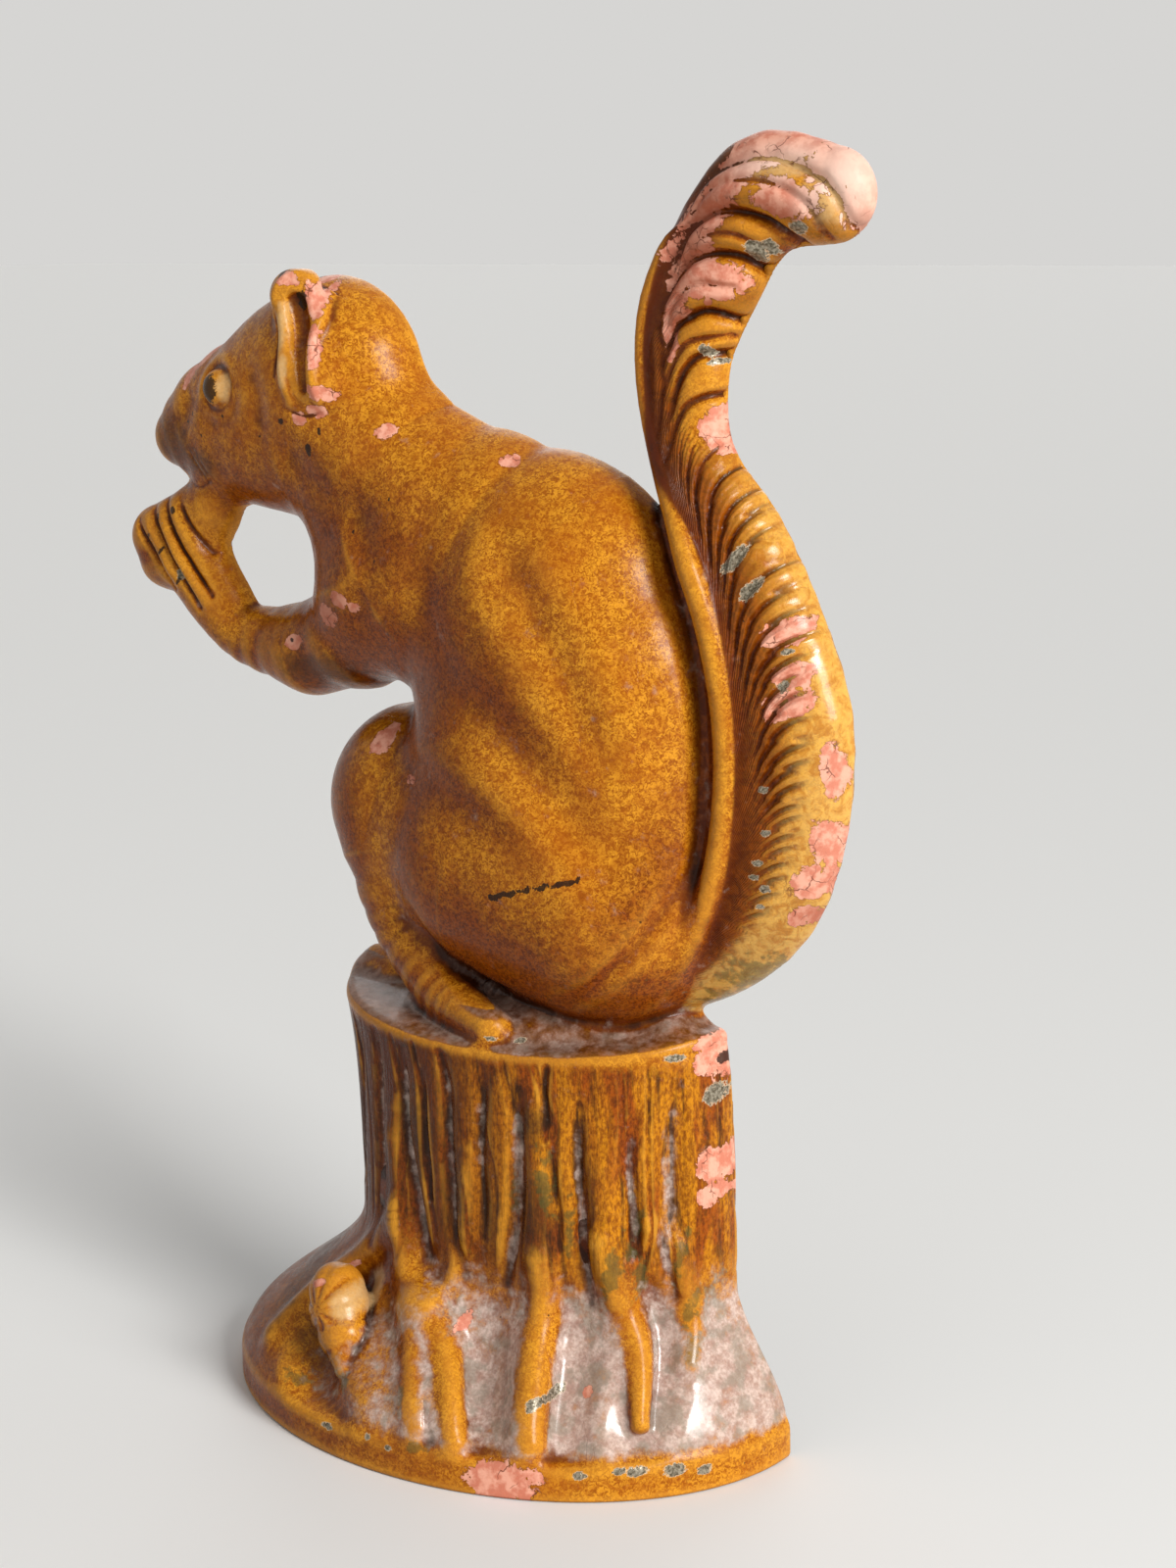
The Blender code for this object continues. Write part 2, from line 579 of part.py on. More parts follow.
def hair_flutes(q):
    """Flutes that leave the rib nearly along it and bend outwards to their tips."""
    tips = np.array(FLUTE_TIPS)
    tip_start, tip_aside = flute_place(tips[:, 0], tips[:, 1])[:2]
    order = np.argsort(tip_start)
    count, pitch, reach = ROOT_FLUTES
    marks = list(tip_start[order[0]] - pitch * np.arange(count, 0, -1)) + list(tip_start[order])
    ends = [reach] * count + list(tip_aside[order])
    count, pitch, reach = PLUME_FLUTES
    marks = np.array(marks + list(marks[-1] + pitch * np.arange(1, count + 1)))
    ends = ends + [reach] * count
    start, aside, along = flute_place(q[:, 0], q[:, 2])
    turn = np.interp(start, marks, np.arange(len(marks)))
    end = np.interp(start, marks, ends)
    lean = FLUTE_SWEEP[1] / FLUTE_BEND * np.exp(-np.clip(aside, 0.0, None) / FLUTE_BEND)
    pitch = np.interp(start, 0.5 * (marks[1:] + marks[:-1]), np.diff(marks))
    room = pitch / np.sqrt(1.0 + lean ** 2)
    off = np.abs(turn - np.round(turn))
    sharp = np.exp(-(off * room / FLUTE_HALF_WIDTH) ** 2)
    soft = 1.0 - np.sin(math.pi * off)
    shape = FLUTE_SHARPNESS * sharp + (1.0 - FLUTE_SHARPNESS) * soft
    shape *= smooth_step(aside, *FLUTE_BEGINS) * smooth_step(room, *FLUTE_ROOM)
    shape *= 1.0 - smooth_step(aside / end, *FLUTE_FADES)
    return FLUTE_DEPTH * shape * (1.0 - smooth_step(along, *PLUME_BEGINS))


def bark_furrows(p):
    """Upright furrows on the front of the stump, between its rim and its roots."""
    rim = smooth_step(STUMP_HEIGHT + 1.0 - p[:, 2], 1.5, 6.0)
    bark = smooth_step(p[:, 2], 0.7 * ROOT_FLARE_HEIGHT, ROOT_FLARE_HEIGHT) * rim
    return grooves(p[:, 0], p[:, 2], FURROWS) * bark


def carve_front(mesh):
    """Hair flutes, locks of the plume, furrows on the stump, muscles, fingers and the mouth."""
    p = coordinates(mesh)
    normals = np.empty(len(mesh.vertices) * 3)
    mesh.vertices.foreach_get("normal", normals)
    normals = normals.reshape(-1, 3)
    q = figure_points(p)
    x, z = q[:, 0], q[:, 2]
    on_tail = chain_field(q, TAIL) < 1.0
    cut = (hair_flutes(q) + grooves(x, z, PLUME_LINES)) * on_tail + bark_furrows(p)
    cut += grooves(x, z, MUSCLE_LINES) * smooth_step(z, 4.0, 12.0)
    cut += grooves(x, z, FINGER_LINES) + grooves(x, z, MOUTH_LINES)
    cut *= smooth_step(-p[:, 1], 1.0, 4.0)
    mesh.vertices.foreach_set("co", (p - normals * cut[:, None]).ravel())
    mesh.update()


def reduced(holder, triangles):
    """The same shape in about the given number of triangles."""
    faces = sum(len(f.vertices) - 2 for f in holder.data.polygons)
    thin = holder.modifiers.new("fewer faces", "DECIMATE")
    thin.ratio = min(1.0, triangles / faces)
    mesh = evaluated_mesh(holder)
    holder.modifiers.clear()
    holder.data = mesh


def cut_flat(holder, point, normal):
    """Cut away what lies beyond a plane, and close the cut with flat faces."""
    bm = bmesh.new()
    bm.from_mesh(holder.data)
    geom = bm.verts[:] + bm.edges[:] + bm.faces[:]
    cut = bmesh.ops.bisect_plane(bm, geom=geom, dist=1e-5, plane_co=point, plane_no=normal,
                                 clear_outer=True)
    corners = [v for v in cut["geom_cut"] if isinstance(v, bmesh.types.BMVert)]
    bmesh.ops.remove_doubles(bm, verts=corners, dist=WELD)
    edges = [e for e in bm.edges if e.is_boundary]
    fill = bmesh.ops.triangle_fill(bm, use_beauty=True, edges=edges, normal=normal)
    faces = [f for f in fill["geom"] if isinstance(f, bmesh.types.BMFace)]
    bmesh.ops.recalc_face_normals(bm, faces=faces)
    if sum(f.calc_area() * f.normal.dot(Vector(normal)) for f in faces) < 0.0:
        bmesh.ops.reverse_faces(bm, faces=faces)
    bm.to_mesh(holder.data)
    bm.free()


def main_bodies():
    bm = bmesh.new()
    for chain in (TORSO, THIGH, NECK, HEAD, JAW, UPPER_ARM, FOREARM, PAW, TAIL, FAR_FOOT,
                  SEAT):
        swelling_bodies(bm, chain, 0.0)
    swelling_bodies(bm, EAR, EAR_STAND)
    round_bodies(bm, rib_chain(), STUMP_HEIGHT)
    round_bodies(bm, LEG, STUMP_HEIGHT)
    for root in ROOTS:
        round_bodies(bm, on_skin(root, -ROOT_SINK), 0.0)
    round_bodies(bm, ACORN, 0.0)
    lofted_body(bm, stump_rings())
    lofted_body(bm, [(BASE_HALF_WIDTH, BASE_DEPTH, 0.0, z) for z in (-SKIRT, BASE_RIM)])
    return bm


def core_bodies():
    bm = bmesh.new()
    for chain in (TORSO, THIGH, NECK, HEAD[:3], TAIL[1:7]):
        swelling_bodies(bm, [(x, z, r - WALL, d - WALL) for x, z, r, d in chain], 0.0)
    swelling_bodies(bm, [(x, z, r, d - WALL) for x, z, r, d in SEAT], 0.0)
    rings = [(half - WALL, depth - WALL, middle, z)
             for half, depth, middle, z in stump_rings()]
    lofted_body(bm, rings)
    return bm


def core_field(p):
    return soft_max(hollow_forms_field(p) + WALL, FLOOR - p[:, 2], EDGE_ROUND)


def boolean(target, tool, operation):
    cut = target.modifiers.new(operation.lower(), "BOOLEAN")
    cut.operation = operation
    cut.object = tool
    mesh = evaluated_mesh(target)
    target.modifiers.clear()
    target.data = mesh


def cylinders(rows):
    """One mesh of upright cylinders that lie along Y: x, z, first y, last y, radii there."""
    bm = bmesh.new()
    for x, z, y0, y1, r0, r1 in rows:
        place = (Matrix.Translation((x, 0.5 * (y0 + y1), z)) @ Matrix.Rotation(math.pi / 2, 4, "X"))
        bmesh.ops.create_cone(bm, cap_ends=True, segments=32, radius1=r1, radius2=r0,
                              depth=y1 - y0, matrix=place)
    mesh = bpy.data.meshes.new("cylinders")
    bm.to_mesh(mesh)
    bm.free()
    return mesh


def lug_reach(x, z):
    """How far a lug runs in from the back to end half way through the front wall."""
    outer = BUMPER_STEM_RADIUS + FIT_GAP + LUG_WALL + LUG_TAPER
    depths = np.linspace(0.0, BASE_DEPTH, 400)
    shortest = BASE_DEPTH
    for turn in np.linspace(0.0, 2.0 * math.pi, 8, endpoint=False):
        ring_x = x + outer * math.cos(turn)
        ring_z = z + outer * math.sin(turn)
        line = np.stack([np.full(400, ring_x), -depths, np.full(400, ring_z)], axis=1)
        inside = hollow_forms_field(line) < -0.5 * WALL
        shortest = min(shortest, float(depths[inside].max()))
    return shortest


def lug_bodies():
    """Lugs that the core leaves standing from the front wall, a little wider at their roots."""
    outer = BUMPER_STEM_RADIUS + FIT_GAP + LUG_WALL
    return cylinders([
        (x, z, -lug_reach(x, z), CUT_OVER, outer + LUG_TAPER, outer) for x, z in BUMPERS.values()
    ])


def hole_bodies():
    bore = BUMPER_STEM_RADIUS + FIT_GAP
    depth = BUMPER_STEM_LENGTH + FIT_GAP
    return cylinders([(x, z, -depth, CUT_OVER, bore, bore) for x, z in BUMPERS.values()])


def turned_bumper(name, material, group):
    """A rubber mushroom: a stem in the lug and a flat-faced head that stands proud of it."""
    soft = 1.2
    profile = [
        (0.0, BUMPER_PROUD),
        (BUMPER_HEAD_RADIUS - 3.0 * soft, BUMPER_PROUD),
        (BUMPER_HEAD_RADIUS - 1.2 * soft, BUMPER_PROUD - 0.25 * soft),
        (BUMPER_HEAD_RADIUS, BUMPER_PROUD - 1.2 * soft),
        (BUMPER_HEAD_RADIUS, FIT_GAP),
        (BUMPER_STEM_RADIUS, FIT_GAP),
        (BUMPER_STEM_RADIUS, 0.8 * soft - BUMPER_STEM_LENGTH),
        (BUMPER_STEM_RADIUS - 0.8 * soft, -BUMPER_STEM_LENGTH),
        (0.0, -BUMPER_STEM_LENGTH),
    ]
    bm = bmesh.new()
    corners = [bm.verts.new((r * MM, 0.0, z * MM)) for r, z in profile]
    for a, b in pieces_of(corners):
        bm.edges.new((a, b))
    mesh = bpy.data.meshes.new(name)
    bm.to_mesh(mesh)
    bm.free()
    made = new_object(name, mesh, group)
    turn = made.modifiers.new("turned", "SCREW")
    turn.steps = 32
    turn.render_steps = 32
    turn.use_merge_vertices = True
    turn.merge_threshold = 0.00001
    made.rotation_euler = (-math.pi / 2, 0.0, 0.0)
    mesh.materials.append(material)
    return made


def place_in_metres(mesh):
    """Turn millimetres into metres and bring the back plane to its place."""
    mesh.transform(Matrix.Scale(MM, 4) @ Matrix.Translation((0.0, BACK_PLANE, 0.0)))
    mesh.update()


def paint(name, colour, roughness, metallic):
    material = bpy.data.materials.new(name)
    material.use_nodes = True
    shader = material.node_tree.nodes["Principled BSDF"]
    shader.inputs["Base Color"].default_value = (*colour, 1.0)
    shader.inputs["Roughness"].default_value = roughness
    shader.inputs["Metallic"].default_value = metallic
    return material


for item in list(bpy.data.objects):
    bpy.data.objects.remove(item, do_unlink=True)
parts = bpy.data.collections.new("squirrel_doorstop")
tools = bpy.data.collections.new("cutters")
for group in (parts, tools):
    bpy.context.scene.collection.children.link(group)

casting = skinned("iron_casting", main_bodies(), SKIN_VOXEL, skin_field, parts, carve_front)
cut_flat(casting, (0, CUT_OVER, 0), (0, 1, 0))
cut_flat(casting, (0, 0, -CUT_OVER), (0, 0, -1))
reduced(casting, SKIN_TRIANGLES)
cut_flat(casting, (0, 0, 0), (0, 1, 0))
cut_flat(casting, (0, 0, 0), (0, 0, -1))
core = skinned("core", core_bodies(), CORE_VOXEL, core_field, tools)
reduced(core, CORE_TRIANGLES)
lugs = new_object("lugs", lug_bodies(), tools)
boolean(core, lugs, "DIFFERENCE")
boolean(casting, core, "DIFFERENCE")
holes = new_object("lug_holes", hole_bodies(), tools)
boolean(casting, holes, "DIFFERENCE")
for spare in (core, lugs, holes):
    bpy.data.objects.remove(spare, do_unlink=True)
place_in_metres(casting.data)
casting.data.materials.append(paint("amber_painted_iron", (0.42, 0.20, 0.045), 0.38, 0.25))
rubber = paint("black_rubber", (0.025, 0.023, 0.021), 0.75, 0.0)
for name, (x, z) in BUMPERS.items():
    bumper = turned_bumper(name, rubber, parts)
    bumper.location = Vector((x, BACK_PLANE, z)) * MM
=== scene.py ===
"""The look of a cast iron squirrel doorstop with worn amber enamel.

The casting is redrawn finer than its plain solid: a fine skin is settled on the same swellings,
then the hair, bark, face and paws are carved into it. Sizes are in millimetres in the modelling
frame, whose back plane is y = 0, and become metres where a piece is finished.
"""

import math

import bmesh
import bpy
import numpy as np
from mathutils import Matrix, Vector


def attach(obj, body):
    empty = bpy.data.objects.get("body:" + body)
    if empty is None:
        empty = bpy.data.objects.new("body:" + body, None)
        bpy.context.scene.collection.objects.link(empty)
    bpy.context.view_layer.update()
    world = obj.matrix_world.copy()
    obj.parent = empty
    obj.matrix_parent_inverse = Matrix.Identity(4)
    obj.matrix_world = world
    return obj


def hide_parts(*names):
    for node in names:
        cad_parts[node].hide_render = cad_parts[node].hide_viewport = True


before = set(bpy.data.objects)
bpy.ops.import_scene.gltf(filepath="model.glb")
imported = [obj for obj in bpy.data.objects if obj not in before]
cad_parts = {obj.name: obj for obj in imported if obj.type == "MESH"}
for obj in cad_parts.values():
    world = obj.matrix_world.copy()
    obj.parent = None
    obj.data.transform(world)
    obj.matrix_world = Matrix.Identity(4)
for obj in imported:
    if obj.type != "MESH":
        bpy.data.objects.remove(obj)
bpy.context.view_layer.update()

MM = 0.001
BACK_PLANE = 25.0
BODY = "root"
# A distance beyond every form, how far past a form it is measured, and a length too small to see
FAR = 60.0
MARGIN = 12.0
TINY = 1e-9

# The base and the stump
BASE_HALF_WIDTH = 73.5
BASE_DEPTH = 57.0
BASE_RIM = 7.5
STUMP_HEIGHT = 95.0
STUMP_HALF_WIDTH = 51.2
STUMP_DEPTH = 33.0
STUMP_LEAN = 8.9
STUMP_WAIST = 0.8
TOP_SET_BACK = 0.3
TOP_RISE = 0.16
TOP_RISE_LENGTH = 24.0
ROOT_FLARE_HEIGHT = 44.0
FLARE_CURVE = 1.2
GROUND_BLEND = 3.0

# The hollow back and the lugs in it
WALL = 5.0
FLOOR = 5.5
EDGE_ROUND = 2.0
FORM_BLEND = 5.0
CAST_EDGE = 1.0
LUG_RADIUS = 7.8
LUG_TAPER = 2.0
LUG_FILLET = 1.5
LUG_HOLE_RADIUS = 4.3
LUG_HOLE_DEPTH = 12.3
# Each lug: x, height above the floor, and its length
LUGS = [(10.0, 178.0, 22.0), (-20.0, 52.0, 25.0), (36.0, 52.0, 25.0)]
# The hollow is measured only where the casting is deep, or behind this plane
HOLLOW_REACH = -32.0

# Rounding where two swellings of a chain meet
SWELLING_BLEND = 0.8

# Fineness of the skin
SKIN_VOXEL = 0.55
SETTLE_ROUNDS = 4
SLOPE_STEP = 0.02
# Widths over which the skin is smoothed to find its hollows and edges
HOLLOW_WIDTHS = (1.0, 2.2, 4.6)
# The way that the lit sides face: the sides turned away from it, and undersides, get painted shade
PAINTED_LIGHT_SIDE = (0.78, -0.36, 0.51)

# The squirrel as chains of swellings: x, height above the stump, radius and depth of relief
TORSO = [
    (-29, 124, 20.5, 19.5), (-5, 100, 34, 25), (12, 90, 40, 28.5), (18.5, 75, 41.5, 30.5),
    (20, 43, 41, 31),
]
THIGH = [(-25, 46, 23.5, 22), (2, 38, 30, 31), (30, 30, 29, 32)]
NECK = [(-47, 143, 23, 19), (-34, 112, 20, 18), (-30, 99, 20, 22)]
HEAD = [
    (-47, 143, 23, 19), (-58, 140.5, 21.8, 17.5), (-67, 135.5, 20.8, 15.5), (-84, 132.3, 15.4, 11),
    (-97, 128.6, 7.8, 6.8),
]
JAW = [(-56, 130, 20.6, 16), (-78, 126, 13, 10)]
UPPER_ARM = [(-24, 98, 22, 24), (-42, 85, 14, 17), (-57, 79.5, 10.5, 12.5)]
FOREARM = [
    (-57, 79.5, 10.5, 12.5), (-76.5, 81, 7.6, 8.5), (-85.5, 88.5, 8.8, 9), (-93, 98, 10, 9.5),
]
PAW = [(-87, 111, 7.6, 8), (-94, 108.5, 8, 7.5), (-106, 103.5, 7.6, 7), (-104.5, 98, 7.4, 6.5)]
SEAT = [(-12, 2, 8, 19), (18, 0, 8.5, 27), (46, 1, 7, 13)]
FAR_FOOT = [(-38, 0, 9, 8.5), (-31, 3, 7.5, 9)]
TAIL = [
    (36, 17, 14, 10), (50, 28, 19, 11), (61, 40, 21, 12), (67, 56, 20.5, 13), (69, 75, 19, 13),
    (65, 95, 15.5, 12.5), (58.5, 111, 13.5, 11), (52, 123, 10.5, 10), (48.5, 133, 9.5, 8.5),
    (48, 145, 9.4, 8), (49, 155, 10.5, 8.5), (54, 168.5, 12.4, 9), (60, 178.5, 12.6, 9.6),
    (68, 184.3, 12.4, 9.6), (82.3, 183.6, 9.9, 8.3),
]
SPINE = [
    (24, 1), (38, 8), (50, 19), (58.5, 33), (63, 49), (64.5, 66), (63, 82), (59, 98), (53, 112),
    (46, 124), (40.5, 136), (38.5, 150), (40, 163), (46, 175), (55, 184),
]
SPINE_RADIUS = 2.8
SPINE_STAND = 13.0
UPPER_SPINE_STAND = 5.0
# Heights between which the tail parts from the back
TAIL_COMES_FREE = (105.0, 135.0)
EAR = [(-40, 143, 6.5, 7), (-45, 153, 7.2, 6), (-49, 162.7, 6.2, 5)]
EAR_STAND = 14.0
EYE = (-73.3, 141.3, 4.8)
EYE_STAND = 12.2
LEG = [(-24, 34, 17, 5), (-20, 19, 12, 9), (-8, 8, 8, 17), (2, 4.5, 5.5, 23), (12, 3, 4.5, 27)]

# Roots on the flared foot of the stump and the bays between them: x, height, radius
ROOTS = [
    [(-14, 50, 1.6), (-12.5, 45, 2.8), (-10.5, 39.5, 3.6), (-7.1, 34.3, 4.1), (-2, 30.5, 3.9)],
    [(-2, 30.5, 3.9), (3.3, 28.5, 3.2), (10.8, 22.8, 2.6), (15.5, 17, 2.4), (18.9, 11, 1.8)],
    [(-2, 30.5, 3.6), (1.1, 24, 2.8), (5.5, 18, 2.4), (9, 12, 1.8)],
    [(26, 47, 1.4), (27, 42, 2.2), (27.8, 36, 2.7), (29, 29, 3.1), (32.5, 20, 3.1),
     (35.3, 12.5, 2.4)],
    [(39, 52, 1.4), (41, 46, 2.2), (42.8, 40.5, 2.6), (45.5, 35, 2.7), (48.7, 30, 2.6),
     (52, 23, 2.2), (54.6, 16, 1.5)],
    [(49.5, 56, 1.2), (51.5, 50, 2.0), (54, 40, 2.2), (57.1, 31, 1.9), (58.5, 26, 1.2)],
    [(-16, 46, 2), (-20.1, 41, 3.2), (-28, 33, 3.6), (-36.8, 25.2, 3.6), (-43.5, 16, 3.0)],
]
ROOT_SINK = 1.2
ROOT_BLEND = 5.5
BAYS = [
    [(-26, 33, 6.5), (-27, 24, 9), (-24, 16, 9.5), (-17, 12, 8)],
    [(11, 43, 6.3), (16, 32, 9.3), (21.5, 22, 9.8), (25, 15, 8.5)],
    [(34, 41, 6.3), (38.5, 30, 9), (42.5, 19, 9.3), (44, 14, 8.5)],
    [(52, 38, 6.2), (55, 28, 7.4), (57, 18, 7.8)],
]
BAY_STAND = 6.3
BAY_BLEND = 5.0
# The acorn between the roots: x, height, radius, distance before the back
ACORN = [(-23.5, 28.5, 6.8, 40), (-20, 23, 6.2, 43), (-16.5, 17, 2.8, 47)]
ACORN_CUP = [(-25.5, 31.0, 6.6, 38.5), (-23.2, 27.8, 7.2, 40.6)]
ACORN_MIDDLE = (-24.5, 29.5)
# The dark slot between the two ends of the forked root: x, height, radius
SLOT = [(5.5, 22.5, 1.7), (10.2, 17.0, 2.2), (13.2, 11.0, 2.4)]
SLOT_STAND = 1.2
SLOT_BLEND = 1.5

# The hollow of the ear: x, height above the stump, radius, distance before the back
EAR_HOLLOW = [(-45.4, 161.2, 3.0, 19.0), (-44.0, 155.5, 3.1, 19.6), (-43.6, 149.0, 2.4, 20.2),
              (-42.6, 142.5, 1.5, 20.6)]
# The rolled rim of the ear, the fold inside it and the cracks under it: depth, half width, then
# x, height above the stump
EAR_LINES = [
    (-1.25, 1.1, [(-51.6, 158.5), (-50.6, 164.0), (-46.8, 167.4), (-42.6, 164.6), (-39.8, 158.8),
                  (-40.0, 152.8), (-39.6, 147.0), (-38.2, 140.0)]),
    (-0.9, 1.3, [(-49.6, 161.0), (-48.2, 154.0), (-48.8, 147.0), (-46.6, 139.5)]),
    (0.6, 0.6, [(-51.2, 160.0), (-50.6, 152.0), (-51.2, 145.0)]),
    (0.5, 0.5, [(-47.4, 137.4), (-43.0, 136.2), (-38.4, 137.0)]),
]

# Tips of the tail's hair grooves, read along the tail from its root: x, height above the stump
FLUTE_TIPS = [
    (64.5, 23.8), (67.9, 27.4), (71.0, 30.9), (73.7, 34.8), (76.0, 38.5), (77.9, 42.2),
    (79.3, 45.8), (80.5, 49.4), (81.1, 52.8), (82.0, 56.3), (82.5, 59.8), (83.2, 63.5),
    (84.0, 68.5), (84.0, 73.5), (83.7, 78.0), (82.7, 83.2), (81.5, 87.0), (82.2, 91.0),
    (83.1, 95.5), (80.3, 100.5), (78.0, 105.7), (77.7, 111.5), (71.8, 117.4), (69.7, 122.2),
    (67.5, 126.5), (64.6, 130.8), (61.5, 136.0),
]
# How far along the rib a groove sweeps, at the tail's root and at its top; how soon it bends
# away from the rib; and its depth
FLUTE_SWEEP = (24.0, 42.0)
FLUTE_BEND = 4.8
FLUTE_DEPTH = 1.25
# Grooves before the first tip and past the last one: their number, spacing and reach
ROOT_FLUTES = (8, 3.0, 7.0)
TOP_FLUTES = (11, 4.5, 14.0)
TAIL_ROOT = 3.0

# Long grooves that part the locks of the plume: depth, half width, then x, height above the stump
PLUME_LINES = [
    (1.5, 1.3, [(44.4, 174.9), (53.6, 186.9), (61.9, 191.0), (71.5, 191.8), (81.1, 188.0),
                (85.8, 184.0), (88.6, 177.0)]),
    (0.7, 1.0, [(47.0, 174.8), (57.0, 185.2), (69.7, 186.6), (79.3, 182.3), (83.5, 175.0)]),
    (2.3, 1.3, [(45.0, 167.5), (48.5, 174.0), (52.0, 178.0), (58.0, 180.5), (64.4, 180.2),
                (70.3, 178.0), (76.0, 173.6)]),
    (0.7, 0.9, [(46.0, 164.5), (50.5, 171.5), (56.0, 175.4), (63.0, 175.8), (69.0, 173.0)]),
    (2.2, 1.3, [(43.3, 158.0), (44.4, 163.0), (49.0, 168.6), (53.5, 171.1), (60.0, 171.6),
                (65.9, 170.0), (70.2, 166.0)]),
    (0.7, 0.9, [(44.6, 153.6), (48.0, 161.5), (54.0, 165.6), (62.0, 165.0)]),
    (2.0, 1.2, [(45.2, 149.6), (47.9, 156.3), (52.0, 158.8), (57.0, 159.8), (64.0, 157.2)]),
    (1.0, 1.0, [(45.0, 143.0), (48.0, 149.5), (52.0, 153.6), (60.0, 155.0)]),
    (1.4, 1.1, [(46.4, 136.5), (48.9, 144.8), (51.9, 149.1), (55.5, 150.9), (62.0, 151.2)]),
    (1.2, 1.0, [(46.6, 129.0), (49.5, 138.3), (54.5, 142.3), (61.5, 143.4)]),
    (0.8, 0.8, [(44.0, 134.0), (44.8, 146.0), (43.4, 158.0)]),
]

# Furrows and folds of the bark, which run into the roots: depth, half width, then x, height
FURROWS = [
    (2.2, 1.9, [(21, 86), (21.6, 70), (20.4, 54), (17, 40)]),
    (1.8, 1.6, [(35.1, 84), (35.8, 62), (36.2, 46), (37, 38)]),
    (1.7, 1.5, [(45.6, 80), (46.0, 62), (46.4, 50)]),
    (2.0, 1.9, [(52.6, 88), (52.8, 68), (52.4, 50), (53, 40)]),
    (1.6, 1.7, [(1.4, 93), (3.0, 76), (3.6, 54), (6.0, 40)]),
    (1.9, 1.8, [(-12, 90), (-10.9, 69), (-7, 50), (-4.5, 42)]),
    (1.6, 1.7, [(-21.8, 92), (-21.6, 67), (-23, 50), (-25, 40)]),
    (1.3, 1.6, [(12.6, 90), (12.2, 66), (12.0, 50)]),
    (1.4, 1.6, [(-31, 90), (-31.5, 70), (-35, 50)]),
    (1.0, 0.9, [(28.8, 96), (27.6, 86), (28.4, 76)]),
    (0.9, 1.0, [(29.8, 74), (30.6, 60), (31.0, 50)]),
    (1.0, 1.0, [(-5.0, 86), (-3.8, 70), (-3.2, 56)]),
    (-1.5, 3.0, [(-15.6, 74), (-15.0, 60), (-13.8, 49), (-11.0, 40)]),
    (-1.6, 3.0, [(27.6, 74), (26.4, 60), (26.8, 47), (28.0, 38)]),
    (-1.4, 2.8, [(41.0, 76), (40.6, 60), (41.6, 48), (43.2, 40)]),
    (-1.3, 2.6, [(8.4, 70), (7.6, 56), (5.4, 44), (1.5, 34)]),
    (-1.2, 2.6, [(57.0, 74), (57.6, 60), (57.8, 48), (58.0, 40)]),
]
# Depth of the streaks between them, and how many run round the stump
BARK_STREAK = 0.35
BROAD_STREAKS = 19.0
FINE_STREAKS = 43.0
# The share of its depth that a groove keeps at its ends
GROOVE_END = 0.35

# Grooves between the fingers, creases and the mouth: depth, half width, then x, height above the
# stump; the paws lie left of one line, and the face left of the other
PAW_SIDE = -76.0
FACE_SIDE = -55.0
PAW_LINES = [
    (1.5, 0.75, [(-99.5, 112.5), (-94.5, 105.5), (-89.0, 98.5), (-83.0, 91.0)]),
    (1.5, 0.75, [(-104.0, 110.5), (-98.0, 103.0), (-92.0, 95.5), (-86.5, 88.0)]),
    (1.3, 0.75, [(-108.5, 107.5), (-102.0, 99.5), (-95.5, 92.0)]),
    (0.8, 0.8, [(-94.0, 113.5), (-89.5, 107.5), (-84.5, 101.0)]),
    (-0.6, 1.1, [(-101.8, 111.6), (-96.2, 104.2), (-90.6, 97.0), (-84.8, 89.6)]),
    (-0.6, 1.1, [(-97.0, 113.0), (-92.0, 106.4), (-86.6, 99.2)]),
    (-0.6, 1.1, [(-106.2, 109.0), (-100.2, 101.4), (-94.0, 93.8)]),
]
FACE_LINES = [
    (0.35, 0.45, [(-91.0, 117.8), (-86.5, 117.0), (-81.5, 119.0)]),
    (0.25, 0.4, [(-87.0, 126.0), (-84.5, 121.5), (-83.0, 118.0)]),
    (0.2, 0.35, [(-83.5, 124.0), (-81.5, 120.5), (-79.0, 118.0)]),
    (0.5, 1.8, [(-79.0, 133.5), (-73.0, 132.6), (-67.5, 136.0), (-66.0, 142.0)]),
]

# Broad soft valleys and swells of the body: depth, half width, then x, height above the stump
MUSCLE_LINES = [
    (1.9, 7.5, [(-24, 71), (-8, 79), (8, 77), (22, 67), (34, 54), (43, 38)]),
    (-1.3, 6.5, [(-22, 60), (-6, 63.5), (10, 60), (27, 51), (41, 35)]),
    (1.0, 5.5, [(-2, 122), (-8, 110), (-6, 97), (0, 86)]),
    (-0.7, 5.0, [(11, 118), (8, 106), (12, 96), (20, 88)]),
    (0.9, 4.5, [(14, 112), (24, 98), (33, 84), (40, 66)]),
    (-0.7, 5.0, [(20, 114), (32, 100), (42, 84), (48, 64)]),
    (1.2, 5.0, [(-29, 118), (-24, 104), (-26, 92)]),
    (0.9, 4.5, [(-52, 128), (-44, 122), (-36, 118)]),
    (1.0, 3.2, [(-62, 147), (-58, 140), (-59, 131)]),
    (0.8, 3.0, [(-84, 140), (-88, 134), (-92, 131)]),
    (0.9, 1.8, [(28, 10), (40, 17), (50, 28), (56.5, 42), (58.8, 60), (57.5, 78), (53.5, 94),
                (47.5, 108)]),
    (0.7, 1.8, [(16, 8), (4, 10), (-6, 16), (-12, 26)]),
]
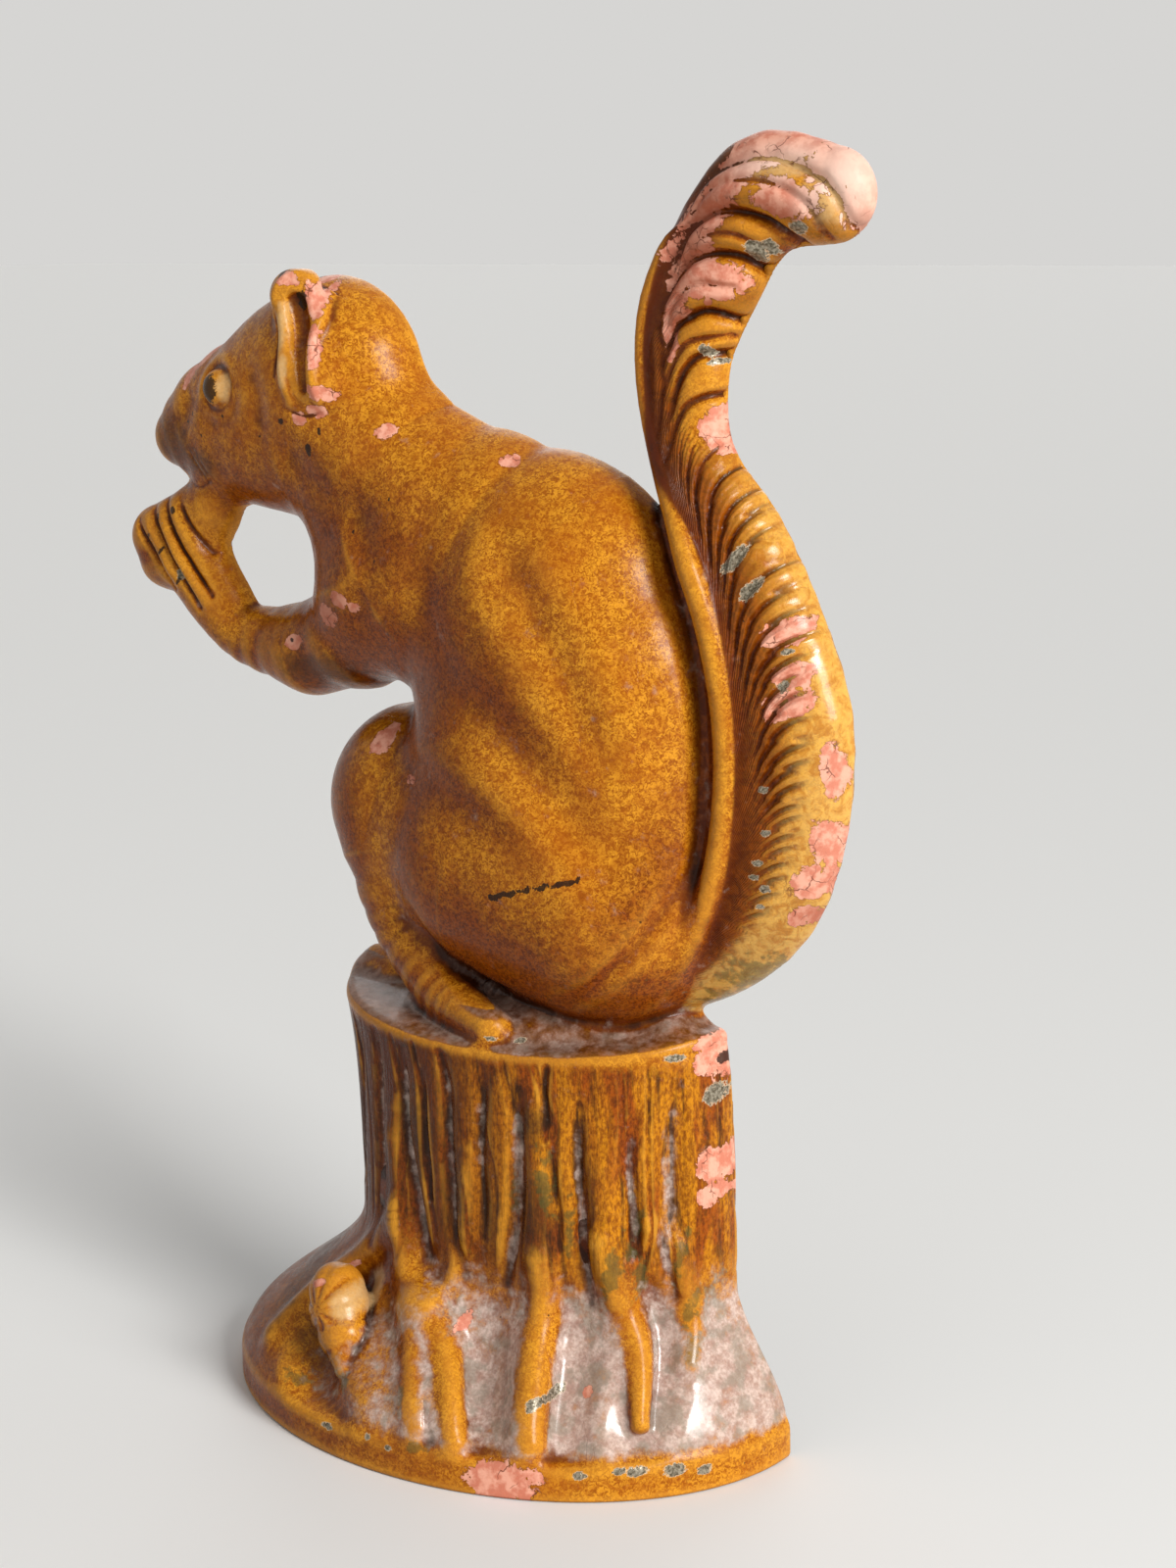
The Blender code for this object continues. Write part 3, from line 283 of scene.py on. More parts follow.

# Marks on the paint: worn places, green marks, painted highlights, and dark stains with painted
# shade; each as x, height above the floor, half width, half height, turn in degrees
PRIMER_SPOTS = [
    (72, 289, 13, 4.5, 0), (85, 284.5, 8, 6, -40), (91, 276, 4.5, 9, 0), (63, 284, 9, 4, 30),
    (75.5, 278, 8, 4, -10), (57, 275.7, 10, 4.4, 30), (51.5, 266.8, 8, 5.5, 30),
    (49.0, 258.8, 4, 6, 0), (58, 261.5, 7, 4.2, 0), (47.3, 250.8, 2.2, 6, 0),
    (57.2, 232, 2.8, 4.2, -20), (58.4, 228, 2.2, 2.4, 0), (76.3, 190, 4.6, 3.0, 20),
    (78.4, 181, 4.2, 2.8, 15), (77.5, 174.9, 5.6, 3.2, 15), (86.4, 161, 2.0, 6, 5),
    (85.1, 145.3, 3.2, 5.4, 10), (81.7, 136.3, 4.6, 3.4, 30), (79.4, 128.5, 3.2, 2.2, 30),
    (-22.3, 228.4, 2.6, 1.8, 10), (-39.5, 232.4, 3.4, 1.5, 0), (8, 222.7, 2.2, 1.3, -20),
    (-32.2, 190.5, 3.0, 1.8, -20), (-37.2, 186.3, 3.6, 2.6, 0), (-27.4, 189.2, 1.8, 1.2, 0),
    (-25.6, 157.8, 3.2, 3.2, 0), (-12.6, 151.2, 1.6, 1.2, 0), (-53.1, 178, 3.4, 1.8, 10),
    (-83.5, 243.6, 5.5, 1.6, 38), (-88.5, 238.6, 2.0, 3.2, -20), (-47.6, 261.8, 3.0, 1.6, -10),
    (-41.5, 256.5, 1.8, 4.6, 20), (-39.3, 247.5, 1.4, 5.4, 5), (-37.2, 236.5, 3.6, 1.8, -8),
    (-44.4, 230.6, 2.2, 1.6, 0), (58.6, 69.4, 2.2, 4.2, 0), (58.2, 62.2, 1.8, 2.6, -10),
    (57.6, 95, 2.6, 6.5, 0), (31, 4.2, 8.0, 4.6, 0), (41.2, 20.5, 1.4, 1.3, 0),
    (9.4, 30.9, 1.2, 2.2, 0), (60.8, 88, 1.3, 6.0, 0), (-27.0, 34.2, 2.2, 0.9, 20),
]
BARE_SPOTS = [
    (55.1, 247.2, 1.3, 1.4, 0), (56.6, 244.8, 1.5, 0.7, 15), (67.2, 267.6, 2.1, 2.2, 30),
    (70.1, 268.4, 1.4, 1.6, 0), (77.4, 272.1, 2.0, 1.3, 0), (64.6, 204.4, 1.3, 3.6, -38),
    (69.0, 198.6, 1.3, 2.8, -38), (77.4, 186, 1.2, 0.7, 10), (76.8, 178.6, 1.1, 1.2, 0),
    (73.1, 156.7, 1.0, 0.8, 0), (73.6, 147.3, 1.0, 0.8, 0), (71.5, 140.4, 1.2, 0.7, 0),
    (70.4, 137.1, 1.0, 0.7, 0), (72.6, 134.5, 1.2, 0.8, 0), (71.2, 130.5, 1.0, 0.7, 0),
    (-92.4, 190.9, 1.2, 1.4, 0), (52.3, 94.5, 1.6, 0.8, 0), (57.6, 85, 1.1, 2.2, 0),
    (14.3, 96.9, 1.3, 0.5, 0), (20, 96.5, 1.3, 0.5, 0), (46.3, 6.4, 1.5, 0.9, 0),
    (53.5, 7.4, 1.2, 0.8, 0), (56.5, 7.1, 1.8, 1.1, 0), (62.4, 6.5, 1.7, 1.4, 0),
    (66.6, 5.4, 0.9, 1.2, 0), (3.6, 6.9, 1.1, 0.7, 0), (-15.5, 6.5, 1.7, 0.7, 0),
    (34.7, 20.4, 1.3, 1.3, 0), (-2.5, 8.0, 0.9, 0.7, 0),
]
DARK_SPOTS = [
    (-74.3, 236.4, 2.7, 3.3, 8), (-44.6, 257.0, 1.6, 2.4, 0), (-50.4, 263.0, 0.9, 1.6, 0),
    (-50.2, 229.8, 1.0, 0.8, 0), (-42.6, 223.6, 1.0, 1.6, 10), (-39.0, 228.0, 0.5, 1.0, 0),
    (-71.5, 230.0, 0.6, 0.5, 0), (-95.4, 206.0, 1.2, 0.8, -40), (-101.0, 204.0, 1.1, 0.7, -40),
    (-104.0, 199.0, 0.6, 1.6, -40), (-99.0, 196.0, 0.5, 1.6, -40), (-93.0, 189.0, 0.5, 1.4, -40),
    (-53.8, 178.3, 0.8, 0.6, 0), (-18.0, 214.0, 0.5, 0.5, 0), (-29.0, 206.0, 0.5, 0.6, 0),
    (-21.0, 200.0, 0.4, 0.5, 0), (58.0, 92.5, 0.8, 1.4, 0), (-84.0, 230.0, 0.5, 0.5, 0),
    (-86.5, 228.0, 0.4, 0.4, 0), (-80.5, 225.0, 0.4, 0.4, 0), (-59.0, 226.0, 0.5, 0.4, 0),
]
SCRATCH = [(16.5, 129.8), (26.0, 132.8), (38.0, 136.0)]
SCRATCH_WIDTH = 0.75
GREEN_SPOTS = [
    (67, 112, 10, 6, 35), (58, 105, 7, 4, 25),
    (54.2, 47.7, 1.3, 6.5, -8), (57.3, 37, 1.5, 6, -14), (59.0, 28.6, 1.6, 4.5, 10),
    (46.3, 56.5, 1.3, 6, -12), (43.4, 46, 1.8, 8, -12), (6.7, 33.4, 1.4, 3.4, 30),
    (12.8, 29.4, 1.6, 3.4, 30), (4.0, 16.6, 1.3, 4.5, 25), (10.7, 8.6, 2.6, 1.6, 0),
    (-30.8, 11.4, 5.0, 1.4, -10), (-15.2, 15.4, 3.5, 2.2, 0), (41.0, 34.6, 1.2, 5.0, 0),
    (20, 60, 0.8, 9, 0), (28.5, 66, 1.6, 8, 5), (33.0, 55, 1.2, 7, 0), (47.4, 45, 1.0, 5, 0),
]
# Painted highlights: glare on the top of the tail, a glint on the eye, a light patch in the ear and
# one on the acorn
PAINTED_HIGHLIGHT_SPOTS = [
    (86, 281, 6, 8, -20), (74, 285, 9, 3, 0),
    (-48.6, 250.5, 1.5, 6.0, 0), (-48.2, 241.5, 1.4, 4.0, 0), (-70.2, 236.6, 1.9, 3.4, 0),
    (-18.5, 31.0, 2.4, 3.6, 20),
]
# Dark stains, partly painted shade: on the snout, under the arm and on the left of the stump, away
# from the light
DARK_STAINS_AND_SHADE = [
    (-93, 222, 9, 8, 0), (-84, 218, 8, 4, 0), (-46, 172, 14, 5, 0), (60, 285, 12, 3, 30),
    (-28, 20, 10, 7, 0), (26, 79, 5, 4, 0), (5, 58, 4, 12, 0), (-6, 70, 3, 12, 0),
    (14, 56, 3, 10, 0), (27, 57, 4, 10, 0), (-38, 62, 8, 16, 0), (-50, 30, 8, 16, 20),
]

# The wash on the foot: its upper limit, and how strong it is from left to right; strongest on the
# lit right, where its pale grey is partly a painted highlight
WASH_TOP = 45.0
WASH_PLACES = (-40.0, -16.0, -6.0, 8.0, 30.0, 50.0, 72.0)
WASH_STRENGTHS = (0.0, 0.25, 0.5, 0.8, 0.95, 1.15, 1.1)
CUT_TOP_MIDDLE = 97.0

# Where more painted shade is laid on, and where the painted shade is lessened: as the worn places
PAINTED_SHADE_AREAS = [
    (20, 112, 36, 18, 0), (-12, 138, 22, 24, 0), (-20, 203, 16, 16, 0), (47, 128, 6, 26, -20),
    (-40, 178, 14, 8, 0),
]
SHADE_LIFTED_AREAS = [
    (-63, 237, 26, 18, 0), (-58, 236, 18, 12, 0), (-84, 196, 10, 16, 0), (-22, 128, 6, 14, 0),
]

# Marks of wear that pass from the paint to its relief, and how deep each lies
WEAR_MARKS = ("Primer", "Bare", "Dark", "Crackle")
WEAR_DEPTHS = (0.10, 0.14, 0.12, 0.06)
# Size of the enamel's mottle; the cracks' cells, and the bends in them; hair lines in a lock
MOTTLE_SIZE = 2.6
CRACK_CELL = 4.6
WOBBLE_SIZE = 2.5
WOBBLE_REACH = 3.0
STRANDS_TO_A_LOCK = 3.0

# Camera: its place in millimetres in the frame, the way it looks, and its roll
CAMERA_AIM = (33.9, 5.0, 154.9)
CAMERA_TURN = 34.0
CAMERA_RISE = 12.3
CAMERA_DISTANCE = 565.0
CAMERA_ROLL = -0.59
CAMERA_LENS = 60.0
CAMERA_SENSOR = 36.0

# The point that the soft boxes look at, in metres
LAMP_AIM = (0.0, 0.0, 0.15)


def pieces_of(chain):
    return list(zip(chain, chain[1:]))


def smooth_step(value, low, high):
    t = np.clip((value - low) / (high - low), 0.0, 1.0)
    return t * t * (3.0 - 2.0 * t)


def soft_min(a, b, blend):
    part = np.clip(blend - np.abs(a - b), 0.0, None) / blend
    return np.minimum(a, b) - part * part * blend * 0.25


def soft_max(a, b, blend):
    return -soft_min(-a, -b, blend)


def within(p, low, high):
    """Indices of the points in a box grown by the margin; a form is only measured there."""
    inside = np.all((p > np.array(low) - MARGIN) & (p < np.array(high) + MARGIN), axis=1)
    return np.nonzero(inside)[0]


def swelling(p, x, y, z, r, depth):
    """Distance to one swelling: an oval body, round as seen from the front."""
    wide2 = (p[:, 0] - x) ** 2 + (p[:, 2] - z) ** 2
    dy = p[:, 1] - y
    near = np.sqrt(wide2 / r ** 2 + (dy / depth) ** 2) + TINY
    slope = np.sqrt(wide2 / r ** 4 + (dy / depth ** 2) ** 2) + TINY
    return near * (near - 1.0) / slope


def chain_field(p, chain, stand=0.0):
    """Distance to a chain of swellings whose centres lie the length stand before the back."""
    x, z, r, thick = np.array(chain, dtype=float).T
    low = (x - r).min(), -stand - thick.max(), (z - r).min()
    high = (x + r).max(), -stand + thick.max(), (z + r).max()
    index = within(p, low, high)
    out = np.full(len(p), FAR)
    q = p[index]
    best = np.full(len(q), FAR)
    for (ax, az, ar, ad), (bx, bz, br, bd) in pieces_of(chain):
        wide = max(ar, br)
        near = within(q, (min(ax, bx) - wide, low[1], min(az, bz) - wide),
                      (max(ax, bx) + wide, high[1], max(az, bz) + wide))
        w = q[near]
        length2 = (bx - ax) ** 2 + (bz - az) ** 2
        t = ((w[:, 0] - ax) * (bx - ax) + (w[:, 2] - az) * (bz - az)) / length2
        t = np.clip(t, 0.0, 1.0)
        here = swelling(w, ax + t * (bx - ax), -stand, az + t * (bz - az),
                        ar + t * (br - ar), ad + t * (bd - ad))
        best[near] = soft_min(best[near], here, SWELLING_BLEND)
    out[index] = best
    return out


def round_field(p, chain):
    """Distance to a round chain: x, height, radius, distance before the back."""
    rows = np.array(chain, dtype=float)
    ends = np.stack([rows[:, 0], -rows[:, 3], rows[:, 1]], axis=1)
    index = within(p, (ends - rows[:, 2:3]).min(axis=0), (ends + rows[:, 2:3]).max(axis=0))
    out = np.full(len(p), FAR)
    q = p[index]
    best = np.full(len(q), FAR)
    for a, b, ar, br in zip(ends, ends[1:], rows[:, 2], rows[1:, 2]):
        wide = max(ar, br)
        near = within(q, np.minimum(a, b) - wide, np.maximum(a, b) + wide)
        w = q[near] - a
        way = b - a
        t = np.clip(w @ way / max(float(way @ way), TINY), 0.0, 1.0)
        here = np.linalg.norm(w - t[:, None] * way, axis=1) - (ar + t * (br - ar))
        best[near] = np.minimum(best[near], here)
    out[index] = best
    return out


def rounded_line(line, parts=5):
    """The same line with its corners rounded off by a smooth curve through its points."""
    rows = np.array(line, dtype=float)
    rows = np.vstack([2 * rows[0] - rows[1], rows, 2 * rows[-1] - rows[-2]])
    out = []
    for i in range(1, len(rows) - 2):
        a, b, c, d = rows[i - 1:i + 3]
        for t in np.linspace(0.0, 1.0, parts, endpoint=False):
            out.append(0.5 * (2 * b + (c - a) * t + (2 * a - 5 * b + 4 * c - d) * t ** 2
                              + (3 * b - a - 3 * c + d) * t ** 3))
    out.append(rows[-2])
    return [tuple(point) for point in out]


SPINE_LINE = rounded_line(SPINE, 3)
TAIL_LINE = rounded_line(TAIL, 3)
LEG_LINE = rounded_line(LEG, 3)
FOREARM_LINE = rounded_line(FOREARM, 3)
HEAD_LINE = rounded_line(HEAD, 2)
EAR_HOLLOW_LINE = rounded_line(EAR_HOLLOW, 3)


def rib_chain():
    """The rib of the tail as a round chain, thinner and nearer the back where the tail is free."""
    chain = []
    for x, z in SPINE_LINE:
        free = float(smooth_step(z, *TAIL_COMES_FREE))
        stand = SPINE_STAND + (UPPER_SPINE_STAND - SPINE_STAND) * free
        chain.append((x, z, SPINE_RADIUS * (1.0 - 0.5 * free), stand))
    return chain


def stump_section(z):
    """Half width, depth and middle of the stump at height z."""
    up = np.clip(z / STUMP_HEIGHT, 0.0, 1.0)
    flare = smooth_step(ROOT_FLARE_HEIGHT - z, 0.0, ROOT_FLARE_HEIGHT - BASE_RIM) ** FLARE_CURVE
    waist = STUMP_WAIST * np.sin(math.pi * up)
    half = STUMP_HALF_WIDTH - waist + (BASE_HALF_WIDTH - STUMP_HALF_WIDTH) * flare
    depth = STUMP_DEPTH - waist + (BASE_DEPTH - STUMP_DEPTH) * flare
    middle = STUMP_LEAN * (1.0 - flare) * (1.0 - TOP_SET_BACK * up ** 8)
    return half, depth, middle


def on_skin(chain, stand):
    """A round chain laid on the foot of the stump, its centres standing out by stand."""
    laid = []
    for x, z, r in chain:
        half, depth, middle = (float(v) for v in stump_section(np.array(float(z))))
        skin = depth * math.sqrt(max(0.0, 1.0 - ((x - middle) / half) ** 2))
        laid.append((x, z, r, skin + stand))
    return laid


def oval_field(p, half, depth, middle):
    """Distance to an upright oval wall, whose half width, depth and middle are given."""
    dx = p[:, 0] - middle
    near = np.sqrt((dx / half) ** 2 + (p[:, 1] / depth) ** 2) + TINY
    slope = np.sqrt((dx / half ** 2) ** 2 + (p[:, 1] / depth ** 2) ** 2) + TINY
    return near * (near - 1.0) / slope


def ground_field(p, fine):
    """The stump on its base, with the bays between its roots."""
    out = np.full(len(p), FAR)
    index = np.nonzero(p[:, 2] < STUMP_HEIGHT + 2.0 * MARGIN)[0]
    q = p[index]
    half, depth, middle = stump_section(q[:, 2])
    side = oval_field(q, half, depth, middle)
    rise = TOP_RISE * np.clip(q[:, 1] + STUMP_DEPTH, 0.0, TOP_RISE_LENGTH)
    ground = soft_max(side, q[:, 2] - STUMP_HEIGHT - rise + 0.25 * EDGE_ROUND, EDGE_ROUND)
    for bay in BAYS:
        hole = round_field(q, on_skin(rounded_line(bay, 3), BAY_STAND))
        ground = soft_max(ground, -hole, BAY_BLEND)
    if fine:
        ground = soft_max(ground, -round_field(q, on_skin(SLOT, SLOT_STAND)), SLOT_BLEND)
    base = soft_max(oval_field(q, BASE_HALF_WIDTH, BASE_DEPTH, 0.0), q[:, 2] - BASE_RIM, EDGE_ROUND)
    out[index] = soft_min(ground, base, GROUND_BLEND)
    return out


def figure_points(p):
    """The same points with their heights counted from the top of the stump."""
    return p - np.array((0.0, 0.0, STUMP_HEIGHT))


def front_field(p):
    """The modelled front: the squirrel, its tail, the stump with its roots, and the base."""
    q = figure_points(p)
    field = chain_field(q, TORSO)
    for chain, blend in ((THIGH, 5.0), (NECK, 6.0), (HEAD_LINE, 5.0), (JAW, 4.0), (UPPER_ARM, 5.0),
                         (FOREARM_LINE, 4.0), (PAW, 6.0)):
        field = soft_min(field, chain_field(q, chain), blend)
    field = soft_min(field, round_field(q, LEG_LINE), 4.0)
    field = soft_min(field, chain_field(q, EAR, EAR_STAND), 2.0)
    field = soft_max(field, -round_field(q, EAR_HOLLOW_LINE), 1.0)
    field = soft_min(field, round_field(q, [(*EYE, EYE_STAND)] * 2), 0.6)
    field = soft_min(field, chain_field(q, TAIL_LINE), 2.5)
    field = soft_min(field, round_field(q, rib_chain()), 2.5)
    ground = ground_field(p, True)
    for root in ROOTS:
        laid = on_skin(rounded_line(root, 3), -ROOT_SINK)
        ground = soft_min(ground, round_field(p, laid), ROOT_BLEND)
    ground = soft_min(ground, round_field(p, ACORN), 1.2)
    ground = soft_min(ground, round_field(p, ACORN_CUP), 0.5)
    ground = soft_min(ground, chain_field(q, FAR_FOOT), 3.0)
    ground = soft_min(ground, chain_field(q, SEAT), 4.0)
    return soft_min(field, ground, GROUND_BLEND)


def hollow_field(p):
    """The hollow in the back, one wall inside the large forms, with its lugs left standing."""
    q = figure_points(p)
    field = chain_field(q, TORSO)
    for chain in (THIGH, NECK, HEAD[:3], SEAT, TAIL[1:7]):
        field = soft_min(field, chain_field(q, chain), FORM_BLEND)
    field = soft_min(field, ground_field(p, False), FORM_BLEND) + WALL
    field = soft_max(field, FLOOR - p[:, 2], EDGE_ROUND)
    for x, z, reach in LUGS:
        from_axis = np.hypot(p[:, 0] - x, p[:, 2] - z)
        radius = LUG_RADIUS + LUG_TAPER * np.clip(-p[:, 1] / reach, 0.0, 1.0)
        field = soft_max(field, radius - from_axis, LUG_FILLET)
    return field


def casting_field(p):
    """The whole casting: the front, cut flat at its back and underside, less its hollow."""
    field = soft_max(front_field(p), p[:, 1], CAST_EDGE)
    field = soft_max(field, -p[:, 2], CAST_EDGE)
    deep = np.nonzero((field < -0.5) | (p[:, 1] > HOLLOW_REACH))[0]
    hollow = np.full(len(p), FAR)
    hollow[deep] = hollow_field(p[deep])
    field = soft_max(field, -hollow, CAST_EDGE)
    for x, z, _ in LUGS:
        hole = np.hypot(p[:, 0] - x, p[:, 2] - z) - LUG_HOLE_RADIUS
        hole = np.maximum(hole, -LUG_HOLE_DEPTH - p[:, 1])
        field = np.maximum(field, -hole)
    return field


def coordinates(mesh, kind="co"):
    """The places of a mesh's vertices, or their normals, as rows."""
    flat = np.empty(len(mesh.vertices) * 3)
    mesh.vertices.foreach_get(kind, flat)
    return flat.reshape(-1, 3)


def move_to(mesh, points):
    """Move the vertices of a mesh to the given points, and give their normals there."""
    mesh.vertices.foreach_set("co", points.ravel())
    mesh.update()
    return coordinates(mesh, "normal")


def edge_ends(mesh):
    """The two vertices of each edge."""
    ends = np.empty(len(mesh.edges) * 2, dtype=np.int32)
    mesh.edges.foreach_get("vertices", ends)
    return ends.reshape(-1, 2)


def relaxed(points, ends, share=0.5):
    """Each point moved part of the way to the mean of its neighbours."""
    count = len(points)
    total = np.zeros_like(points)
    for axis in range(points.shape[1]):
        total[:, axis] = (np.bincount(ends[:, 0], points[ends[:, 1], axis], count)
                          + np.bincount(ends[:, 1], points[ends[:, 0], axis], count))
    number = np.bincount(ends.ravel(), minlength=count)[:, None]
    return (1.0 - share) * points + share * total / np.maximum(number, 1)


def settle(points, ends, field, rounds):
    """Move the points of a closed skin onto the zero of a distance field."""
    for turn in range(rounds):
        if turn < rounds - 2:
            points = relaxed(points, ends)
        here = field(points)
        slopes = []
        for axis in range(3):
            ahead = points.copy()
            ahead[:, axis] += SLOPE_STEP
            slopes.append((field(ahead) - here) / SLOPE_STEP)
        slope = np.stack(slopes, axis=1)
        size = np.maximum((slope * slope).sum(axis=1), 0.05)
        move = -(here / size)[:, None] * slope
        reach = np.linalg.norm(move, axis=1)[:, None]
        points = points + move * np.minimum(1.0, 1.0 / np.maximum(reach, TINY))
    return points


def along_line(x, z, line):
    """Distance along an open line of points, and signed distance to its right, for points."""
    best = np.full(len(x), 1e9)
    along = np.zeros(len(x))
    aside = np.zeros(len(x))
    start = 0.0
    for (ax, az), (bx, bz) in pieces_of(line):
        length = math.hypot(bx - ax, bz - az)
        ux = (bx - ax) / length
        uz = (bz - az) / length
        t = np.clip((x - ax) * ux + (z - az) * uz, 0.0, length)
        off = np.hypot(x - ax - t * ux, z - az - t * uz)
        side = np.sign((x - ax) * uz - (z - az) * ux)
        nearer = off < best
        best = np.where(nearer, off, best)
        along = np.where(nearer, start + t, along)
        aside = np.where(nearer, off * side, aside)
        start += length
    return along, aside


def grooves(x, z, lines):
    """Depth of a set of grooves: each as deep as stated on its line, tapering to its ends."""
    cut = np.zeros(len(x))
    for depth, half_width, line in lines:
        curve = rounded_line(line)
        rows = np.array(curve)
        reach = 3.0 * half_width
        near = np.nonzero((x > rows[:, 0].min() - reach) & (x < rows[:, 0].max() + reach)
                          & (z > rows[:, 1].min() - reach) & (z < rows[:, 1].max() + reach))[0]
        if not len(near):
            continue
        along, aside = along_line(x[near], z[near], curve)
        total = sum(math.hypot(b[0] - a[0], b[1] - a[1]) for a, b in pieces_of(curve))
        taper = smooth_step(along, 0.0, 0.2 * total)
        taper = taper * (1.0 - 0.7 * smooth_step(along, 0.8 * total, total))
        full = depth * (GROOVE_END + (1.0 - GROOVE_END) * taper)
        cut[near] += full * np.exp(-(aside / half_width) ** 2)
    return cut


def flute_place(x, z):
    """Where a point lies on the tail: the start of its hair groove on the rib, its distance
    from the rib, and how far along the rib it lies."""
    along, aside = along_line(x, z, SPINE_LINE)
    low, high = FLUTE_SWEEP
    sweep = low + (high - low) * smooth_step(along, 30.0, 110.0)
    start = along - sweep * (1.0 - np.exp(-np.clip(aside, 0.0, None) / FLUTE_BEND))
    return start, aside, along


def on_tail(q):
    """1 on the tail, 0 off it."""
    return smooth_step(1.5 - chain_field(q, TAIL_LINE), 0.0, 1.0)


def hair(q):
    """Hair on the tail: depth of the grooves, the count of grooves passed, for fine lines, and
    where the paint treats the tail as combed, inner, outer, on the rib or beside it."""
    start, aside, along = flute_place(q[:, 0], q[:, 2])
    tips = np.array(FLUTE_TIPS)
    tip_start, tip_aside, _ = flute_place(tips[:, 0], tips[:, 1])
    order = np.argsort(tip_start)
    tip_start = tip_start[order]
    tip_aside = tip_aside[order]
    count, gap, length = ROOT_FLUTES
    first = tip_start[0] - gap * np.arange(count, 0, -1)
    top_count, top_gap, top_length = TOP_FLUTES
    last = tip_start[-1] + top_gap * np.arange(1, top_count + 1)
    marks = np.concatenate([first, tip_start, last])
    ends = np.concatenate([np.full(count, length), tip_aside, np.full(top_count, top_length)])
    turn = np.interp(start, marks, np.arange(len(marks)))
    out = aside / np.interp(start, marks, ends)
    pitch = np.interp(start, 0.5 * (marks[1:] + marks[:-1]), np.diff(marks))
    lean = FLUTE_SWEEP[1] / FLUTE_BEND * np.exp(-np.clip(aside, 0.0, None) / FLUTE_BEND)
    room = pitch / np.sqrt(1.0 + lean ** 2)
    off = np.abs(turn - np.round(turn))
    sharp = np.exp(-(off * room / 0.55) ** 2)
    round_lock = 1.0 - np.sin(math.pi * off)
    reach = smooth_step(aside, 2.5, 6.0) * smooth_step(room, 0.9, 2.0)
    reach *= 1.0 - smooth_step(out, 0.72, 1.04)
    tail = on_tail(q) * (along > TAIL_ROOT)
    below = 1.0 - smooth_step(along, 138.0, 152.0)
    cut = FLUTE_DEPTH * (0.75 * sharp + 0.45 * round_lock) * reach * tail * below
    lower = 1.0 - smooth_step(along, 128.0, 150.0)
    return cut, turn, {
        "tail_hair": tail * smooth_step(aside, 1.5, 3.0) * (1.0 - 0.9 * smooth_step(out, 0.7, 1.0)),
        "tail_inner": tail * (1.0 - smooth_step(out, 0.25, 0.95)),
        "tail_outer": tail * smooth_step(out, 0.55, 1.05) * lower,
        "rib": tail * np.exp(-(aside / 1.1) ** 2) * (1.0 - smooth_step(along, 95.0, 125.0)),
        "beside_rib": tail * np.exp(-(aside / 4.0) ** 2),
    }


def bark(p):
    """Depth of the bark's furrows and streaks on the side of the stump, and of furrows alone."""
    half, depth, middle = stump_section(p[:, 2])
    angle = np.arctan2(-p[:, 1] / depth, (p[:, 0] - middle) / half)
    rim = smooth_step(STUMP_HEIGHT + 1.0 - p[:, 2], 1.5, 5.0)
    above = oval_field(p, half, depth, middle) > -2.0
    side = smooth_step(p[:, 2], 34.0, 52.0) * rim * above
    x = p[:, 0] + 0.35 * np.sin(p[:, 2] / 8.3) + 0.2 * np.sin(p[:, 2] / 3.7 + 1.0)
    furrow = grooves(x, p[:, 2], FURROWS) * rim * above
    wander = 0.6 * np.sin(p[:, 2] / 15.0 + 3.0 * angle)
    wander = wander + 0.3 * np.sin(p[:, 2] / 6.0 + 7.0 * angle)
    streak = np.abs(np.sin(BROAD_STREAKS * angle + wander))
    streak = streak + 0.6 * np.abs(np.sin(FINE_STREAKS * angle + 1.7 * wander))
    streak = np.clip(1.0 - streak, 0.0, 1.0) ** 1.5
    return furrow + 1.5 * BARK_STREAK * streak * side, furrow, side


def acorn_ribs(p):
    """Depth of the grooves round the acorn's cup."""
    index = np.nonzero(np.abs(round_field(p, ACORN_CUP)) < 1.0)[0]
    cut = np.zeros(len(p))
    x, z = ACORN_MIDDLE
    turn = np.arctan2(p[index, 2] - z, p[index, 0] - x)
    cut[index] = 0.3 * (0.5 - 0.5 * np.cos(9.0 * turn)) ** 2
    return cut


def eye_socket(q):
    """A groove round the eyeball and a brow over it."""
    off = np.hypot(q[:, 0] - EYE[0], q[:, 2] - EYE[1])
    turn = np.arctan2(q[:, 2] - EYE[1], q[:, 0] - EYE[0])
    brow = smooth_step(np.cos(turn - math.radians(125.0)), -0.2, 0.7)
    cut = 0.35 * np.exp(-((off - 5.3) / 0.8) ** 2) - 0.6 * brow * np.exp(-((off - 7.2) / 1.5) ** 2)
    return cut * (q[:, 1] < -4.0)


def carve(p, normals):
    """Cut the fine relief into the skin. Gives the new points, what was carved where, for the
    paint, and the depth of the furrows."""
    q = figure_points(p)
    front = smooth_step(0.8 - normals[:, 1], 0.0, 0.45) * (p[:, 1] < 0.4)
    front = front * smooth_step(2.5 - np.abs(front_field(p)), 0.0, 1.5)
    locks, turn, masks = hair(q)
    x, z = q[:, 0], q[:, 2]
    plume = grooves(x, z, PLUME_LINES)
    plume += 0.45 * grooves(x, z, [(d, 2.6 * w, line) for d, w, line in PLUME_LINES if d > 1.2])
    plume *= on_tail(q)
    barked, furrow, masks["stump_side"] = bark(p)
    cut = locks + plume + barked + acorn_ribs(p)
    cut += grooves(x, z, PAW_LINES) * (x < PAW_SIDE)
    cut += (grooves(x, z, FACE_LINES) + eye_socket(q)) * (x < FACE_SIDE)
    cut += grooves(x, z, EAR_LINES) * (q[:, 1] < -10.0)
    cut += grooves(x, z, MUSCLE_LINES) * smooth_step(z, 4.0, 12.0)
    carved = p - normals * (cut * front)[:, None]
    carved[:, 1] = np.minimum(carved[:, 1], 0.0)
    shown = {name: mask * front for name, mask in masks.items()}
    shown["lock_turn"] = turn
    return carved, shown, furrow * front


